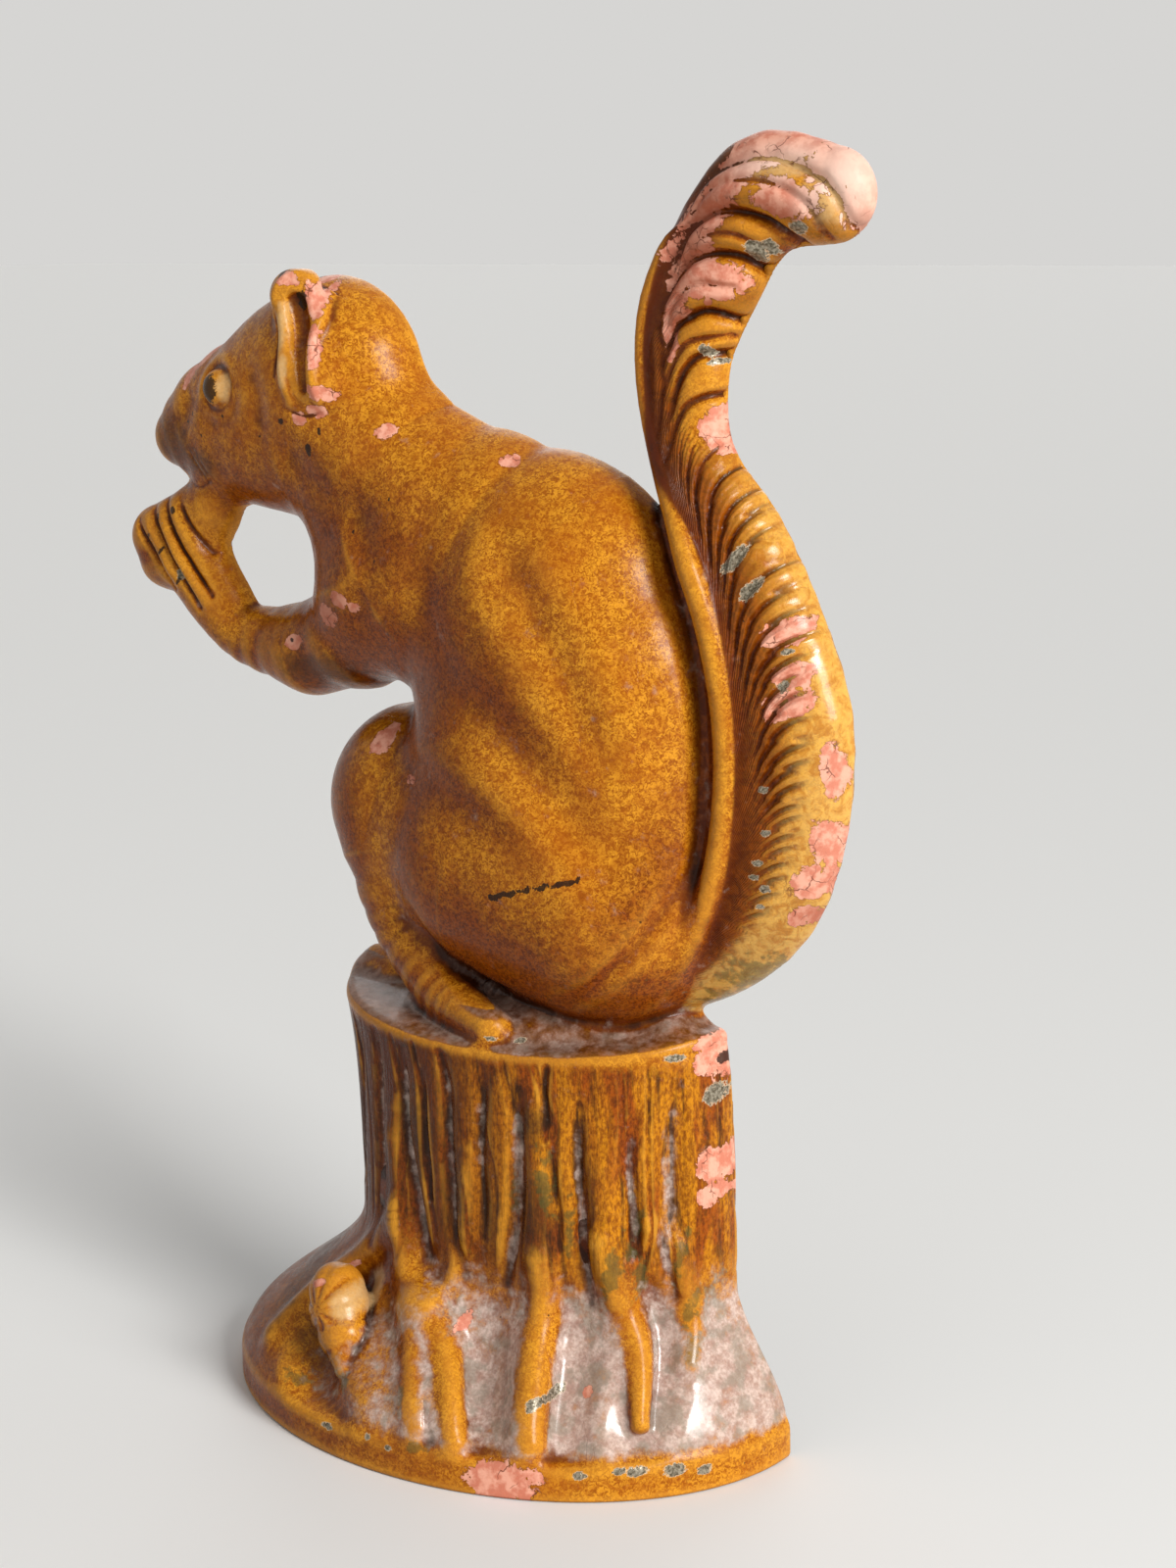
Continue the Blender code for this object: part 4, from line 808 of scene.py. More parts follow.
def worn(p, spots, soft):
    """How far inside a worn place each point lies: 1 in its middle, 0.5 on its edge."""
    best = np.zeros(len(p))
    for x, z, half_x, half_z, turn in spots:
        reach = 1.8 * max(half_x, half_z)
        near = np.nonzero((np.abs(p[:, 0] - x) < reach) & (np.abs(p[:, 2] - z) < reach))[0]
        c, s = math.cos(math.radians(turn)), math.sin(math.radians(turn))
        dx = p[near, 0] - x
        dz = p[near, 2] - z
        off = np.hypot((dx * c + dz * s) / half_x, (dz * c - dx * s) / half_z)
        best[near] = np.maximum(best[near], np.clip(1.0 - 0.5 * off ** (1.0 / soft), 0.0, 1.0))
    return best


def hollows_and_edges(points, ends, normals):
    """Signed height of each point below its smoothed surroundings, at three widths."""
    out = []
    smooth = points
    done = 0
    for width in HOLLOW_WIDTHS:
        rounds = max(1, round((width / SKIN_VOXEL) ** 2))
        for _ in range(rounds - done):
            smooth = relaxed(smooth, ends, 0.8)
        done = rounds
        out.append(((smooth - points) * normals).sum(axis=1))
    return out


def fine_skin():
    """The fine skin of the casting as a mesh in millimetres, with what the paint needs to know."""
    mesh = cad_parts["iron_casting"].data.copy()
    to_millimetres = Matrix.Translation((0.0, -BACK_PLANE, 0.0)) @ Matrix.Scale(1.0 / MM, 4)
    bm = bmesh.new()
    bm.from_mesh(mesh)
    bmesh.ops.remove_doubles(bm, verts=bm.verts[:], dist=0.000002)
    bmesh.ops.transform(bm, verts=bm.verts[:], matrix=to_millimetres)
    bm.to_mesh(mesh)
    bm.free()
    holder = bpy.data.objects.new("skin", mesh)
    bpy.context.scene.collection.objects.link(holder)
    remesh = holder.modifiers.new("skin", "REMESH")
    remesh.mode = "VOXEL"
    remesh.voxel_size = SKIN_VOXEL
    graph = bpy.context.evaluated_depsgraph_get()
    skin = bpy.data.meshes.new_from_object(holder.evaluated_get(graph))
    bpy.data.objects.remove(holder)
    ends = edge_ends(skin)
    plain = settle(coordinates(skin), ends, casting_field, SETTLE_ROUNDS)
    points, shown, furrow = carve(plain, move_to(skin, plain))
    normals = move_to(skin, points)
    heights = hollows_and_edges(points, ends, normals)
    shown.update(zip(("fine_hollow", "hollow", "broad_hollow"), heights))
    # The pale places are painted highlights, and the dark patches are stains and painted shade
    for name, places, soft in (("primer", PRIMER_SPOTS, 0.45), ("bare", BARE_SPOTS, 0.45),
                               ("green", GREEN_SPOTS, 0.8), ("stain_and_shade", DARK_STAINS_AND_SHADE, 0.9),
                               ("pale", PAINTED_HIGHLIGHT_SPOTS, 0.8)):
        shown[name] = worn(points, places, soft)
    shown["dark"] = np.maximum(worn(points, DARK_SPOTS, 0.45), 1.6 * scratch_marks(points))
    shown["back"] = back_side(plain, normals)
    shown["wash"], shown["cut_top"] = washed(plain, normals, furrow)
    # Painted shade: darker on the sides turned from the light and on undersides, more in the listed
    # areas and less in the lifted ones
    shade_turned_away = smooth_step(0.80 - normals @ np.array(PAINTED_LIGHT_SIDE), 0.0, 0.95)
    shade_turned_away = np.maximum(shade_turned_away, 0.9 * smooth_step(-normals[:, 2], 0.02, 0.55))
    painted_shade = np.maximum(shade_turned_away, 0.65 * worn(points, PAINTED_SHADE_AREAS, 0.9))
    shown["painted_shade"] = painted_shade * (1.0 - 0.75 * worn(points, SHADE_LIFTED_AREAS, 0.9))
    return skin, shown


def scratch_marks(p):
    """The broken scratch across the haunch."""
    along, aside = along_line(p[:, 0] + 0.8 * np.sin(p[:, 0] * 1.7), p[:, 2], SCRATCH)
    broken = 0.65 + 0.35 * np.sin(along * 2.3) * np.sin(along * 0.9 + 1.0)
    return np.exp(-(aside / SCRATCH_WIDTH) ** 2) * broken


def back_side(p, normals):
    """1 in the hollow and on the flat back, 0 on the front."""
    flat = smooth_step(normals[:, 1], 0.5, 0.9) * (p[:, 1] > -0.6)
    inner = smooth_step(-front_field(p), 2.0, 3.5)
    under = smooth_step(-normals[:, 2], 0.6, 0.9) * (p[:, 2] < 0.4)
    return np.maximum(np.maximum(flat, inner), under)


def washed(p, normals, furrow):
    """Grey-mauve wash: the cut top of the stump, the foot between the roots and the furrows.
    Gives the wash, and the cut top alone."""
    top = smooth_step(normals[:, 2], 0.45, 0.85) * (np.abs(p[:, 2] - CUT_TOP_MIDDLE) < 5.5)
    foot = smooth_step(p[:, 2], 7.5, 12.0) * smooth_step(WASH_TOP - p[:, 2], -4.0, 18.0)
    # Stronger to the right, where the pale wash is partly a painted highlight
    foot = foot * np.interp(p[:, 0], WASH_PLACES, WASH_STRENGTHS)
    for root in ROOTS:
        off = round_field(p, on_skin(root, -ROOT_SINK))
        foot = foot * (1.0 - smooth_step(2.0 - off, 0.0, 2.0))
    wash = np.maximum(0.62 * top, foot)
    return np.maximum(wash, 0.5 * smooth_step(furrow, 0.7, 1.8)), top


def keep_attributes(mesh, shown):
    """Keep what the paint needs to know as attributes of the mesh."""
    for name, values in shown.items():
        made = mesh.attributes.new(name, "FLOAT", "POINT")
        made.data.foreach_set("value", np.asarray(values, dtype=np.float32))


def cut_piece(bm, planes):
    """Keep what lies behind each plane, and close each cut with a flat cap."""
    for point, normal in planes:
        geom = bm.verts[:] + bm.edges[:] + bm.faces[:]
        cut = bmesh.ops.bisect_plane(bm, geom=geom, dist=1e-5, plane_co=point, plane_no=normal,
                                     clear_outer=True)
        rim = [e for e in cut["geom_cut"] if isinstance(e, bmesh.types.BMEdge) and e.is_boundary]
        fill = bmesh.ops.triangle_fill(bm, use_beauty=False, edges=rim, normal=normal)
        for face in fill["geom"]:
            if isinstance(face, bmesh.types.BMFace):
                face.smooth = False
                if face.normal.dot(Vector(normal)) < 0.0:
                    face.normal_flip()
        for edge in rim:
            if edge.is_valid:
                edge.smooth = False


def casting_piece(name, skin, planes, material):
    """One named section of the casting, between flat cuts."""
    bm = bmesh.new()
    bm.from_mesh(skin)
    for face in bm.faces:
        face.smooth = True
    cut_piece(bm, planes)
    bmesh.ops.triangulate(bm, faces=[f for f in bm.faces if len(f.verts) > 3])
    place = Matrix.Scale(MM, 4) @ Matrix.Translation((0.0, BACK_PLANE, 0.0))
    bmesh.ops.transform(bm, verts=bm.verts[:], matrix=place)
    mesh = bpy.data.meshes.new(name)
    bm.to_mesh(mesh)
    bm.free()
    mesh.materials.append(material)
    piece = bpy.data.objects.new(name, mesh)
    bpy.context.scene.collection.objects.link(piece)
    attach(piece, BODY)
    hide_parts("iron_casting")
    print(name, len(mesh.polygons), "triangles")


def colour(red, green, blue):
    """A colour as it looks on a screen, 0 to 255, in the linear values that a shader takes."""
    out = []
    for value in (red, green, blue):
        v = value / 255.0
        out.append(v / 12.92 if v <= 0.04045 else ((v + 0.055) / 1.055) ** 2.4)
    return (*out, 1.0)


class Bench:
    """A short hand for laying nodes in one tree."""

    def __init__(self, tree):
        self.tree = tree

    def node(self, kind, **settings):
        made = self.tree.nodes.new(kind)
        for name, value in settings.items():
            setattr(made, name, value)
        return made

    def put(self, socket, value):
        if isinstance(value, bpy.types.NodeSocket):
            self.tree.links.new(value, socket)
        elif value is not None:
            socket.default_value = value

    def math(self, operation, a, b=None, c=None):
        made = self.node("ShaderNodeMath", operation=operation)
        for socket, value in zip(made.inputs, (a, b, c)):
            self.put(socket, value)
        return made.outputs[0]

    def add(self, a, b):
        return self.math("ADD", a, b)

    def less(self, a, b):
        return self.math("SUBTRACT", a, b)

    def times(self, a, b):
        return self.math("MULTIPLY", a, b)

    def most(self, a, b):
        return self.math("MAXIMUM", a, b)

    def stray(self, noise, reach):
        """Noise spread evenly about nought."""
        return self.times(self.less(noise, 0.5), reach)

    def ramp(self, value, low, high, to_low=0.0, to_high=1.0):
        made = self.node("ShaderNodeMapRange", interpolation_type="SMOOTHSTEP")
        for name, item in (("Value", value), ("From Min", low), ("From Max", high),
                           ("To Min", to_low), ("To Max", to_high)):
            self.put(made.inputs[name], item)
        return made.outputs["Result"]

    def mix(self, factor, a, b):
        made = self.node("ShaderNodeMix", data_type="RGBA")
        self.put(made.inputs["Factor"], factor)
        self.put(made.inputs[6], a)
        self.put(made.inputs[7], b)
        return made.outputs[2]

    def tones(self, value, low, high, first, second):
        """A colour that turns from the first tone to the second as the value rises."""
        return self.mix(self.ramp(value, low, high), first, second)

    def lay(self, coat, tone, value, low, high, strongest=1.0):
        """The coat with a tone laid over it as the value goes from low to high."""
        return self.mix(self.ramp(value, low, high, 0.0, strongest), coat, tone)

    def bump(self, height, strength, depth):
        """Normals bent by a height that is stated in units of depth, in millimetres."""
        made = self.node("ShaderNodeBump")
        made.inputs["Strength"].default_value = strength
        made.inputs["Distance"].default_value = depth * MM
        self.put(made.inputs["Height"], height)
        return made.outputs["Normal"]

    def attribute(self, name):
        return self.node("ShaderNodeAttribute", attribute_name=name).outputs["Fac"]

    def place(self, stretch=(1.0, 1.0, 1.0), shift=(0.0, 0.0, 0.0)):
        """Object coordinates in millimetres, stretched and shifted."""
        spot = self.node("ShaderNodeTexCoord")
        made = self.node("ShaderNodeMapping")
        self.put(made.inputs["Vector"], spot.outputs["Object"])
        made.inputs["Scale"].default_value = [s / MM for s in stretch]
        made.inputs["Location"].default_value = shift
        return made.outputs["Vector"]

    def noise(self, size, detail=3.0, roughness=0.55, place=None, twist=0.0):
        """Noise whose features are about the given size in millimetres."""
        made = self.node("ShaderNodeTexNoise")
        self.put(made.inputs["Vector"], place or self.place())
        made.inputs["Scale"].default_value = 1.0 / size
        made.inputs["Detail"].default_value = detail
        made.inputs["Roughness"].default_value = roughness
        made.inputs["Distortion"].default_value = twist
        return made.outputs["Fac"]


def new_group(name, kind, inputs, outputs):
    """A node group whose sockets are all of one kind, with a bench, its inputs and its outputs."""
    group = bpy.data.node_groups.new(name, "ShaderNodeTree")
    for way, labels in (("INPUT", inputs), ("OUTPUT", outputs)):
        for label in labels:
            group.interface.new_socket(label, in_out=way, socket_type=kind)
    bench = Bench(group)
    return group, bench, bench.node("NodeGroupInput"), bench.node("NodeGroupOutput")


def crackle_lines(b):
    """Thin cracks between bent cells of the primer, in patches."""
    cells = b.node("ShaderNodeTexVoronoi", feature="DISTANCE_TO_EDGE")
    bent = b.node("ShaderNodeVectorMath", operation="MULTIPLY_ADD")
    wobble = b.node("ShaderNodeTexNoise")
    b.put(wobble.inputs["Vector"], b.place())
    wobble.inputs["Scale"].default_value = 1.0 / WOBBLE_SIZE
    b.put(bent.inputs[0], wobble.outputs["Color"])
    bent.inputs[1].default_value = (WOBBLE_REACH,) * 3
    b.put(bent.inputs[2], b.place())
    b.put(cells.inputs["Vector"], bent.outputs[0])
    cells.inputs["Scale"].default_value = 1.0 / CRACK_CELL
    line = b.less(1.0, b.ramp(cells.outputs["Distance"], 0.008, 0.035))
    return b.times(line, b.ramp(b.noise(7.0, 2.0), 0.5, 0.62))


def wear_group():
    """Masks of the worn paint: primer laid bare, metal laid bare, dark marks, and their edges."""
    group, b, _, out = new_group("enamel_wear", "NodeSocketFloat", [],
                                 [*WEAR_MARKS, "Edge"])
    ragged = b.noise(3.2, 5.0, 0.62, twist=0.6)
    tear = b.add(b.stray(ragged, 1.7), b.stray(b.noise(0.9, 3.0, 0.6), 0.5))
    tear = b.less(tear, b.ramp(b.attribute("hollow"), 0.0, 0.4, 0.0, 0.5))
    primer_depth = b.add(b.attribute("primer"), tear)
    primer_rim = b.times(b.ramp(primer_depth, 0.42, 0.50),
                         b.less(1.0, b.ramp(primer_depth, 0.50, 0.56)))
    small = b.stray(b.noise(1.1, 4.0, 0.7), 1.7)
    bare_depth = b.add(b.times(b.attribute("bare"), 0.92), small)
    chips = b.ramp(b.noise(2.6, 4.0, 0.7, b.place(shift=(7.0, 3.0, 1.0))), 0.745, 0.76)
    edges = b.ramp(b.attribute("fine_hollow"), -0.03, -0.11)
    bare_rim = b.times(b.ramp(bare_depth, 0.34, 0.46),
                       b.less(1.0, b.ramp(bare_depth, 0.48, 0.53)))
    dark_depth = b.add(b.attribute("dark"), small)
    pits = b.ramp(b.noise(1.9, 2.0, 0.5, b.place(shift=(2.0, 9.0, 5.0))), 0.765, 0.80)
    for label, mask in (
            ("Primer", b.ramp(primer_depth, 0.50, 0.53)),
            ("Bare", b.most(b.ramp(bare_depth, 0.5, 0.53), b.times(chips, edges))),
            ("Dark", b.most(b.ramp(dark_depth, 0.5, 0.6), b.times(pits, 0.85))),
            ("Edge", b.most(primer_rim, bare_rim)),
            ("Crackle", crackle_lines(b))):
        b.put(out.inputs[label], mask)
    return group


def enamel_group():
    """Colour of the sound enamel: amber with a dark mottle, dark glaze in hollows, and painted
    light and shade.
    """
    group, b, _, out = new_group("amber_enamel", "NodeSocketColor", [], ["Color"])
    worm = b.ramp(b.noise(0.9, 3.0, 0.7, twist=1.2), 0.38, 0.60)
    mottle = b.noise(MOTTLE_SIZE, 4.0, 0.65, twist=0.8)
    cloud = b.noise(14.0, 3.0, 0.55)
    amber = b.mix(worm, colour(150, 80, 6), colour(218, 146, 34))
    amber = b.lay(amber, colour(156, 78, 6), mottle, 0.42, 0.66, 0.6)
    amber = b.lay(amber, colour(164, 84, 8), cloud, 0.42, 0.62, 0.45)
    # Painted shade, uneven at random, turns the amber brown away from the light and underneath
    unevenness = b.times(b.less(b.add(mottle, cloud), 1.0), 0.5)
    shade_amount = b.add(b.attribute("painted_shade"), unevenness)
    brown = b.mix(worm, colour(86, 32, 3), colour(138, 62, 5))
    amber = b.lay(amber, brown, shade_amount, 0.02, 0.88, 0.92)
    # Darker in the hollows, near black in the deepest: dark glaze settled there, and painted shade
    # as well; lighter on the ridges, a painted highlight
    low = b.add(b.times(b.attribute("hollow"), 1.5), b.times(b.attribute("broad_hollow"), 0.5))
    low = b.add(low, b.times(b.attribute("fine_hollow"), 2.5))
    low = b.add(low, b.stray(mottle, 0.3))
    shade = b.lay(amber, colour(90, 34, 4), low, 0.02, 0.75, 0.85)
    shade = b.lay(shade, colour(44, 17, 4), low, 0.7, 1.8, 0.9)
    shade = b.lay(shade, colour(226, 158, 50), low, -0.12, -0.7, 0.4)
    # Across the tail: paler gold on the outer band, partly painted light where it faces the lamp;
    # dark brown on the inner half and beside the rib, partly painted shade towards the body; orange
    # on the rib's crest, partly a painted highlight
    outer = b.tones(mottle, 0.4, 0.65, colour(230, 182, 88), colour(196, 134, 44))
    shade = b.mix(b.times(b.attribute("tail_outer"), 0.6), shade, outer)
    inner = b.tones(mottle, 0.4, 0.65, colour(92, 36, 4), colour(138, 66, 8))
    shade = b.lay(shade, inner, b.attribute("tail_inner"), 0.0, 0.8, 0.88)
    band = b.tones(mottle, 0.4, 0.7, colour(98, 36, 4), colour(66, 24, 4))
    shade = b.mix(b.times(b.attribute("beside_rib"), 0.9), shade, band)
    rib = b.tones(mottle, 0.4, 0.7, colour(186, 92, 10), colour(136, 58, 6))
    shade = b.mix(b.times(b.attribute("rib"), 0.85), shade, rib)
    b.put(out.inputs["Color"], shade)
    return group


def bark_group():
    """Colour of the stump: streaks of yellow, orange and dark brown down the bark, with painted
    shade on its left side.
    """
    group, b, given, out = new_group("bark_enamel", "NodeSocketColor", ["Enamel"], ["Color"])
    long = b.noise(2.4, 4.0, 0.6, b.place((1.0, 1.0, 0.13)), 0.5)
    wide = b.noise(7.0, 3.0, 0.55, b.place((1.0, 1.0, 0.22), (4.0, 1.0, 2.0)), 0.6)
    hatch = b.noise(0.8, 3.0, 0.7, b.place((1.0, 1.0, 0.5)))
    gold = b.tones(hatch, 0.35, 0.65, colour(134, 70, 4), colour(204, 130, 16))
    orange = b.tones(hatch, 0.35, 0.65, colour(98, 38, 4), colour(156, 72, 8))
    red = b.tones(hatch, 0.35, 0.65, colour(58, 20, 3), colour(112, 46, 6))
    spot = b.node("ShaderNodeSeparateXYZ")
    b.put(spot.inputs[0], b.place())
    tone = b.tones(wide, 0.42, 0.58, gold, orange)
    # Painted shade: red-brown towards the stump's left, away from the light, and darker on the
    # sides turned from it
    tone = b.lay(tone, red, spot.outputs["X"], 46.0, -16.0, 0.95)
    tone = b.lay(tone, colour(70, 25, 3), b.attribute("painted_shade"), 0.1, 0.9, 0.75)
    # Dark streaks down the bark, deeper in the hollows, where they are partly painted shade;
    # lighter on fine ridges, a painted highlight
    dark = b.add(long, b.times(b.attribute("hollow"), 0.45))
    tone = b.lay(tone, colour(42, 20, 6), dark, 0.50, 0.70, 0.88)
    tone = b.lay(tone, colour(214, 150, 44), b.attribute("fine_hollow"), -0.02, -0.12, 0.7)
    stump = b.times(b.attribute("stump_side"), 0.9)
    b.put(out.inputs["Color"], b.mix(stump, given.outputs["Enamel"], tone))
    return group


def relief_group():
    """Height of the paint skin: grain, brush drag, hair lines, chips and pits, in millimetres."""
    group, b, given, out = new_group("cast_skin_height", "NodeSocketFloat", WEAR_MARKS, ["Height"])
    grain = b.times(b.noise(0.75, 3.0, 0.65), 0.07)
    lump = b.times(b.noise(4.5, 3.0, 0.5), 0.22)
    streak = b.times(b.noise(0.9, 3.0, 0.6, b.place((1.0, 1.0, 0.12))), 0.5)
    streak = b.times(streak, b.attribute("stump_side"))
    turn = b.times(b.attribute("lock_turn"), 6.2832 * STRANDS_TO_A_LOCK)
    turn = b.add(turn, b.times(b.noise(3.0, 2.0), 5.0))
    strand = b.times(b.times(b.math("SINE", turn), 0.10), b.attribute("tail_hair"))
    height = b.add(b.add(grain, lump), b.add(streak, strand))
    for label, depth in zip(WEAR_MARKS, WEAR_DEPTHS):
        height = b.less(height, b.times(given.outputs[label], depth))
    b.put(out.inputs["Height"], height)
    return group


def new_material(name):
    """A material, with a bench for its nodes and its Principled shader."""
    material = bpy.data.materials.new(name)
    material.use_nodes = True
    return material, Bench(material.node_tree), material.node_tree.nodes["Principled BSDF"]


def painted_iron():
    """The material of the casting: old amber enamel over pink primer over grey iron."""
    material, b, shader = new_material("worn_amber_enamel")

    def use(group):
        return b.node("ShaderNodeGroup", node_tree=group)

    wear = use(wear_group())
    bark_coat = use(bark_group())
    b.put(bark_coat.inputs["Enamel"], use(enamel_group()).outputs["Color"])
    coat = bark_coat.outputs["Color"]
    mottle = b.noise(MOTTLE_SIZE, 4.0, 0.6)
    speck = b.noise(0.7, 2.0, 0.6)
    # Dark stains, partly painted shade on the places away from the light
    stain_and_shade = b.add(b.attribute("stain_and_shade"), b.stray(mottle, 0.9))
    coat = b.lay(coat, colour(50, 32, 16), stain_and_shade, 0.35, 0.85, 0.55)
    green = b.add(b.attribute("green"), b.stray(mottle, 2.4))
    coat = b.lay(coat, b.mix(speck, colour(46, 52, 26), colour(98, 98, 46)), green, 0.45, 0.85, 0.6)
    blots = b.add(b.less(mottle, 0.5), b.less(b.noise(7.0, 4.0, 0.6), 0.5))
    cut_top = b.add(b.attribute("cut_top"), b.times(blots, 0.9))
    brown = b.tones(mottle, 0.4, 0.62, colour(86, 42, 12), colour(132, 70, 22))
    coat = b.lay(coat, brown, cut_top, 0.2, 0.8, 0.85)
    # The grey-mauve wash, made paler partly as a painted highlight on the lit right of the foot
    grey = b.tones(mottle, 0.35, 0.65, colour(180, 148, 134), colour(218, 194, 180))
    grey = b.lay(grey, colour(128, 96, 82), speck, 0.35, 0.65, 0.35)
    grey = b.lay(grey, colour(134, 128, 112), b.noise(5.0, 3.0, 0.6), 0.45, 0.62, 0.6)
    grey = b.lay(grey, colour(74, 46, 36), b.attribute("hollow"), 0.1, 0.9, 0.7)
    grey = b.mix(b.times(b.attribute("cut_top"), 0.6), grey, colour(104, 76, 58))
    wash = b.add(b.attribute("wash"), b.times(blots, 1.3))
    wash = b.add(wash, b.times(b.attribute("broad_hollow"), 0.15))
    coat = b.lay(coat, grey, wash, 0.2, 1.0, 0.92)
    # Painted highlights in cream on the enamel
    pale = b.add(b.attribute("pale"), b.stray(mottle, 0.8))
    highlight_cream = b.mix(speck, colour(196, 148, 84), colour(226, 192, 138))
    coat = b.lay(coat, highlight_cream, pale, 0.25, 0.8, 0.75)
    pink = b.tones(mottle, 0.38, 0.62, colour(206, 124, 98), colour(234, 168, 142))
    pink = b.lay(pink, colour(120, 56, 30), b.attribute("hollow"), 0.05, 0.5, 0.8)
    # The primer takes painted shade away from the light, and a painted highlight at the pale places
    pink = b.lay(pink, colour(156, 80, 50), b.attribute("painted_shade"), 0.3, 1.0, 0.7)
    pink = b.mix(b.attribute("pale"), pink, colour(246, 208, 188))
    coat = b.mix(wear.outputs["Primer"], coat, pink)
    primer, bare = b.attribute("primer"), b.attribute("bare")
    crackle = b.times(wear.outputs["Crackle"], b.ramp(primer, 0.2, 0.5, 0.0, 0.8))
    coat = b.mix(crackle, coat, colour(96, 44, 22))
    bare_rim = b.times(wear.outputs["Edge"], b.ramp(bare, 0.1, 0.3, 0.0, 0.8))
    coat = b.mix(bare_rim, coat, colour(220, 200, 168))
    primer_rim = b.times(wear.outputs["Edge"], b.ramp(primer, 0.1, 0.35, 0.0, 0.5))
    coat = b.mix(primer_rim, coat, colour(92, 44, 22))
    iron = b.tones(speck, 0.30, 0.70, colour(84, 74, 56), colour(166, 156, 136))
    coat = b.mix(wear.outputs["Bare"], coat, iron)
    coat = b.mix(b.times(wear.outputs["Dark"], 0.9), coat, colour(24, 16, 12))
    dark_iron = b.tones(mottle, 0.4, 0.65, colour(76, 68, 61), colour(118, 92, 70))
    dark_iron = b.lay(dark_iron, colour(120, 78, 30), b.noise(9.0, 4.0, 0.6), 0.56, 0.70, 0.35)
    coat = b.mix(b.attribute("back"), coat, dark_iron)
    b.put(shader.inputs["Base Color"], coat)
    gloss = b.ramp(b.noise(3.5, 4.0, 0.6), 0.35, 0.70, 0.22, 0.38)
    matt = b.most(b.times(wear.outputs["Primer"], 0.42), b.times(b.attribute("back"), 0.62))
    b.put(shader.inputs["Roughness"], b.most(gloss, matt))
    b.put(shader.inputs["Metallic"], b.times(wear.outputs["Bare"], 0.35))
    height = use(relief_group())
    for label in WEAR_MARKS:
        b.put(height.inputs[label], wear.outputs[label])
    b.put(shader.inputs["Normal"], b.bump(height.outputs["Height"], 0.85, 1.0))
    lacquer = b.most(b.attribute("wash"), b.attribute("tail_outer"))
    lacquer = b.math("MULTIPLY_ADD", lacquer, 0.60, 0.08)
    b.put(shader.inputs["Coat Weight"], b.times(lacquer, b.less(1.0, matt)))
    shader.inputs["Coat Roughness"].default_value = 0.16
    shader.inputs["IOR"].default_value = 1.5
    shader.inputs["Specular IOR Level"].default_value = 0.10
    return material


def bumper_rubber():
    """Old black rubber, a little dusty."""
    material, b, shader = new_material("old_black_rubber")
    dust = b.ramp(b.noise(2.4, 4.0, 0.6), 0.45, 0.75, 0.0, 0.5)
    b.put(shader.inputs["Base Color"], b.mix(dust, colour(30, 29, 28), colour(74, 70, 64)))
    b.put(shader.inputs["Roughness"], b.ramp(b.noise(1.2, 3.0), 0.3, 0.7, 0.6, 0.8))
    b.put(shader.inputs["Normal"], b.bump(b.noise(0.5, 2.0), 0.4, 0.3))
    return material


def plain_surface(name, tone, roughness):
    """One plain tone, for the floor alone."""
    material, _, shader = new_material(name)
    shader.inputs["Base Color"].default_value = tone
    shader.inputs["Roughness"].default_value = roughness
    return material


def make_floor():
    """The pale floor, which isn't part of the object."""
    bm = bmesh.new()
    bmesh.ops.create_grid(bm, x_segments=1, y_segments=1, size=12.0)
    mesh = bpy.data.meshes.new("pale_floor")
    bm.to_mesh(mesh)
    bm.free()
    mesh.materials.append(plain_surface("pale_floor", colour(236, 235, 232), 0.85))
    floor = bpy.data.objects.new("pale_floor", mesh)
    bpy.context.scene.collection.objects.link(floor)


def hang_lamp(name, kind, strength, place, turn):
    """A lamp in its holder."""
    lamp = bpy.data.lights.new(name, kind)
    lamp.energy = strength
    holder = bpy.data.objects.new(name, lamp)
    bpy.context.scene.collection.objects.link(holder)
    holder.location = place
    holder.rotation_euler = turn
    return lamp


def soft_lamp(name, place, size, power):
    """A soft box that looks at the middle of the object."""
    turn = (Vector(LAMP_AIM) - Vector(place)).to_track_quat("-Z", "Y").to_euler()
    lamp = hang_lamp(name, "AREA", power, place, turn)
    lamp.shape = "RECTANGLE"
    lamp.size, lamp.size_y = size


def broad_sun(name, way, strength, width):
    """Soft daylight from one side, which lights the floor evenly far behind the object too."""
    turn = Vector(way).to_track_quat("Z", "Y").to_euler()
    lamp = hang_lamp(name, "SUN", strength, (0.0, 0.0, 0.0), turn)
    lamp.angle = math.radians(width)


def make_world():
    """Even light from all round, behind which the camera and the gloss see a pale backdrop."""
    world = bpy.data.worlds.new("studio")
    bpy.context.scene.world = world
    world.use_nodes = True
    b = Bench(world.node_tree)
    lit = world.node_tree.nodes["Background"]
    lit.inputs["Color"].default_value = (1.0, 1.0, 1.0, 1.0)
    lit.inputs["Strength"].default_value = 0.32
    shown = b.node("ShaderNodeBackground")
    shown.inputs["Color"].default_value = colour(214, 213, 211)
    shown.inputs["Strength"].default_value = 1.0
    ray = b.node("ShaderNodeLightPath")
    mix = b.node("ShaderNodeMixShader")
    seen = b.most(ray.outputs["Is Camera Ray"], ray.outputs["Is Glossy Ray"])
    b.put(mix.inputs[0], b.most(seen, ray.outputs["Is Transmission Ray"]))
    b.put(mix.inputs[1], lit.outputs[0])
    b.put(mix.inputs[2], shown.outputs[0])
    b.put(world.node_tree.nodes["World Output"].inputs["Surface"], mix.outputs[0])


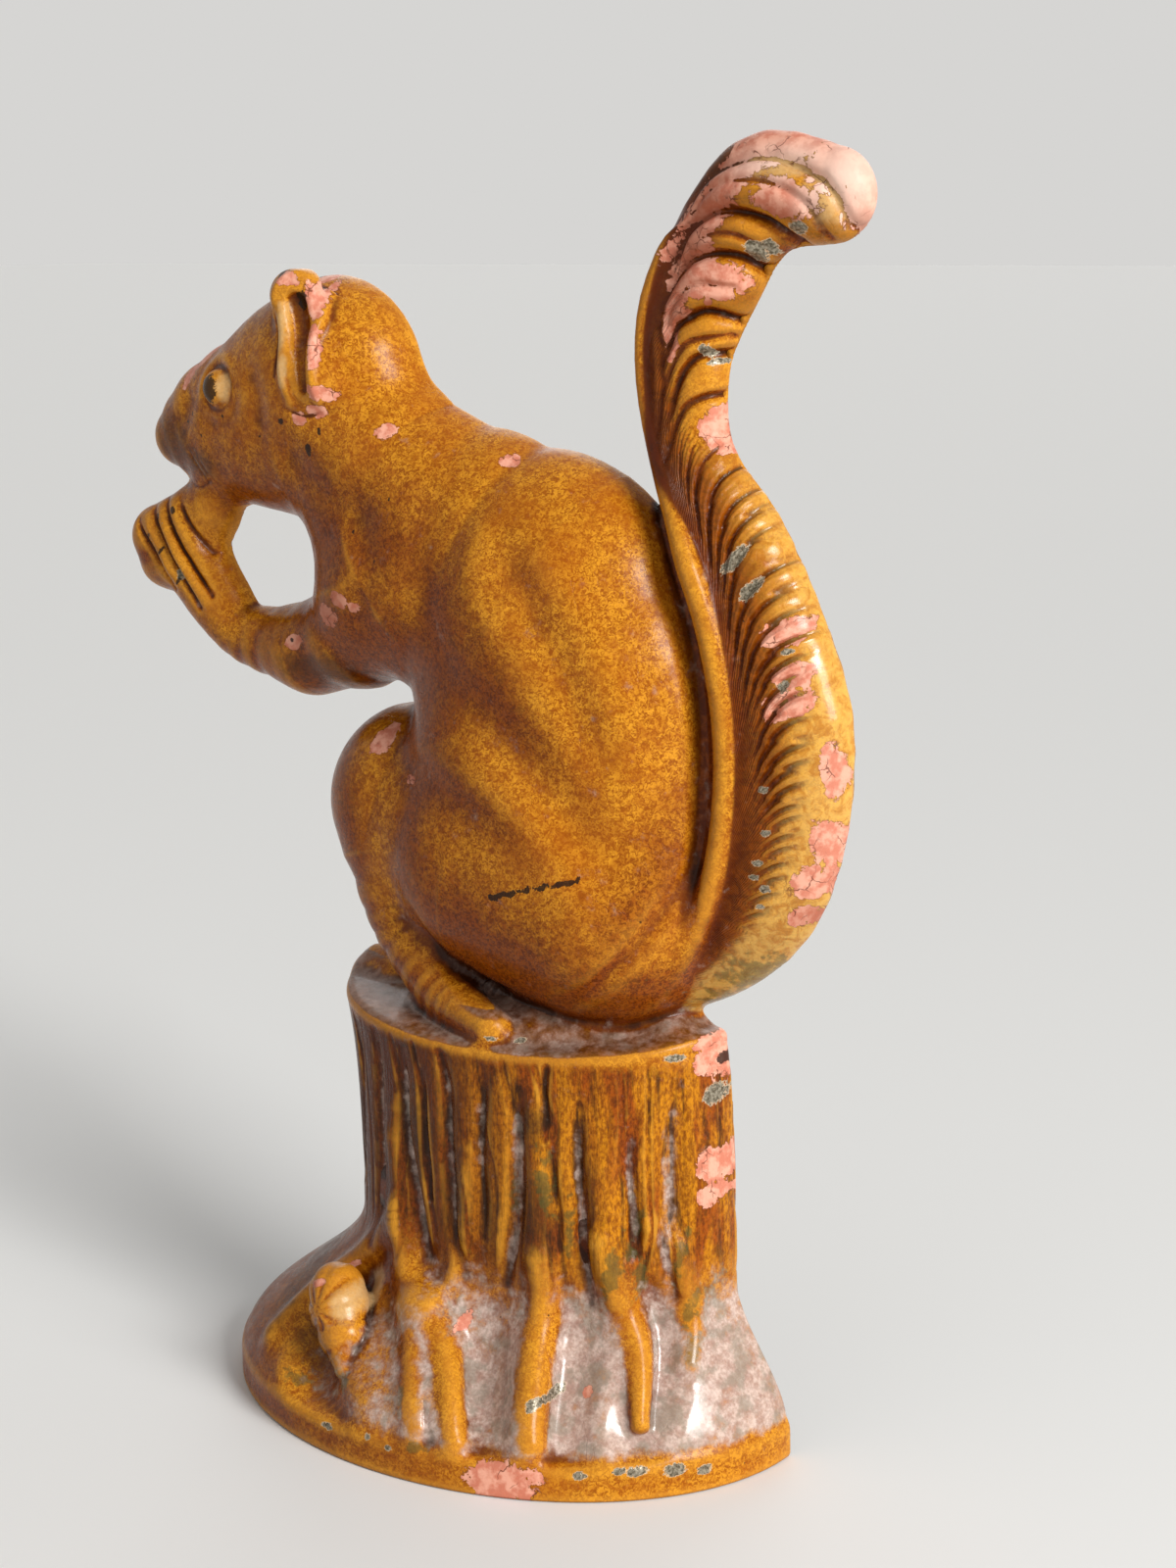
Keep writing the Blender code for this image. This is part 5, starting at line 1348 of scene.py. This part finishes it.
def make_camera():
    """The camera at the photograph's angle, aimed, turned, raised and rolled as the tables say."""
    turn = math.radians(CAMERA_TURN)
    rise = math.radians(CAMERA_RISE)
    roll = math.radians(CAMERA_ROLL)
    level = math.cos(rise)
    back = Vector((math.sin(turn) * level, -math.cos(turn) * level, math.sin(rise)))
    right = Vector((math.cos(turn), math.sin(turn), 0.0))
    up = back.cross(right)
    tilted = math.cos(roll) * right + math.sin(roll) * up
    top = math.cos(roll) * up - math.sin(roll) * right
    place = (Vector(CAMERA_AIM) + back * CAMERA_DISTANCE) * MM
    camera = bpy.data.cameras.new("camera")
    camera.sensor_fit = "VERTICAL"
    camera.sensor_width = CAMERA_SENSOR
    camera.sensor_height = CAMERA_SENSOR
    camera.lens = CAMERA_LENS
    camera.clip_start = 0.01
    holder = bpy.data.objects.new("camera", camera)
    bpy.context.scene.collection.objects.link(holder)
    turned = Matrix((tilted, top, back)).transposed().to_4x4()
    holder.matrix_world = Matrix.Translation(place) @ turned
    bpy.context.scene.camera = holder


# Cuts between the sections of the casting: a point and a normal, in millimetres
ROOTS_TOP = ((0.0, 0.0, 44.0), (0.0, 0.0, 1.0))
STUMP_TOP = ((0.0, 0.0, 101.0), (0.0, 0.0, 1.0))
TAIL_CUT = ((47.0, 0.0, 160.0), (1.0, 0.0, 0.0))
NECK_CUT = ((-30.0, 0.0, 225.0), (-0.5, 0.0, 0.866))
BASE_CUT = ((14.0, 0.0, 0.0), (1.0, 0.0, 0.0))
WAIST_CUT = ((0.0, 0.0, 160.0), (0.0, 0.0, 1.0))


def behind(plane):
    """The same cut, with its other side kept."""
    point, normal = plane
    return point, tuple(-n for n in normal)


make_camera()
casting_skin, paint_facts = fine_skin()
keep_attributes(casting_skin, paint_facts)
iron_paint = painted_iron()
for section, cuts in (
        ("base_and_roots_left", [ROOTS_TOP, BASE_CUT]),
        ("base_and_roots_right", [ROOTS_TOP, behind(BASE_CUT)]),
        ("stump", [behind(ROOTS_TOP), STUMP_TOP]),
        ("squirrel_tail", [behind(STUMP_TOP), behind(TAIL_CUT)]),
        ("squirrel_head", [behind(STUMP_TOP), TAIL_CUT, behind(NECK_CUT)]),
        ("squirrel_haunch", [behind(STUMP_TOP), TAIL_CUT, WAIST_CUT]),
        ("squirrel_shoulders", [behind(WAIST_CUT), TAIL_CUT, NECK_CUT])):
    casting_piece(section, casting_skin, cuts, iron_paint)
bpy.data.meshes.remove(casting_skin)
rubber = bumper_rubber()
for bumper in ("upper_bumper", "left_bumper", "right_bumper"):
    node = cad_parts[bumper]
    if not node.material_slots:
        node.data.materials.append(rubber)
    for slot in node.material_slots:
        slot.material = rubber
make_floor()
make_world()
broad_sun("daylight", way=(0.90, -0.28, 0.55), strength=2.3, width=20.0)
broad_sun("daylight_behind", way=(-0.45, 1.0, 0.45), strength=0.5, width=40.0)
soft_lamp("window", place=(0.85, -0.12, 0.40), size=(0.22, 0.45), power=3.0)
soft_lamp("front_fill", place=(-0.35, -1.1, 0.45), size=(1.0, 1.0), power=0.8)
bpy.context.scene.view_settings.view_transform = "Standard"
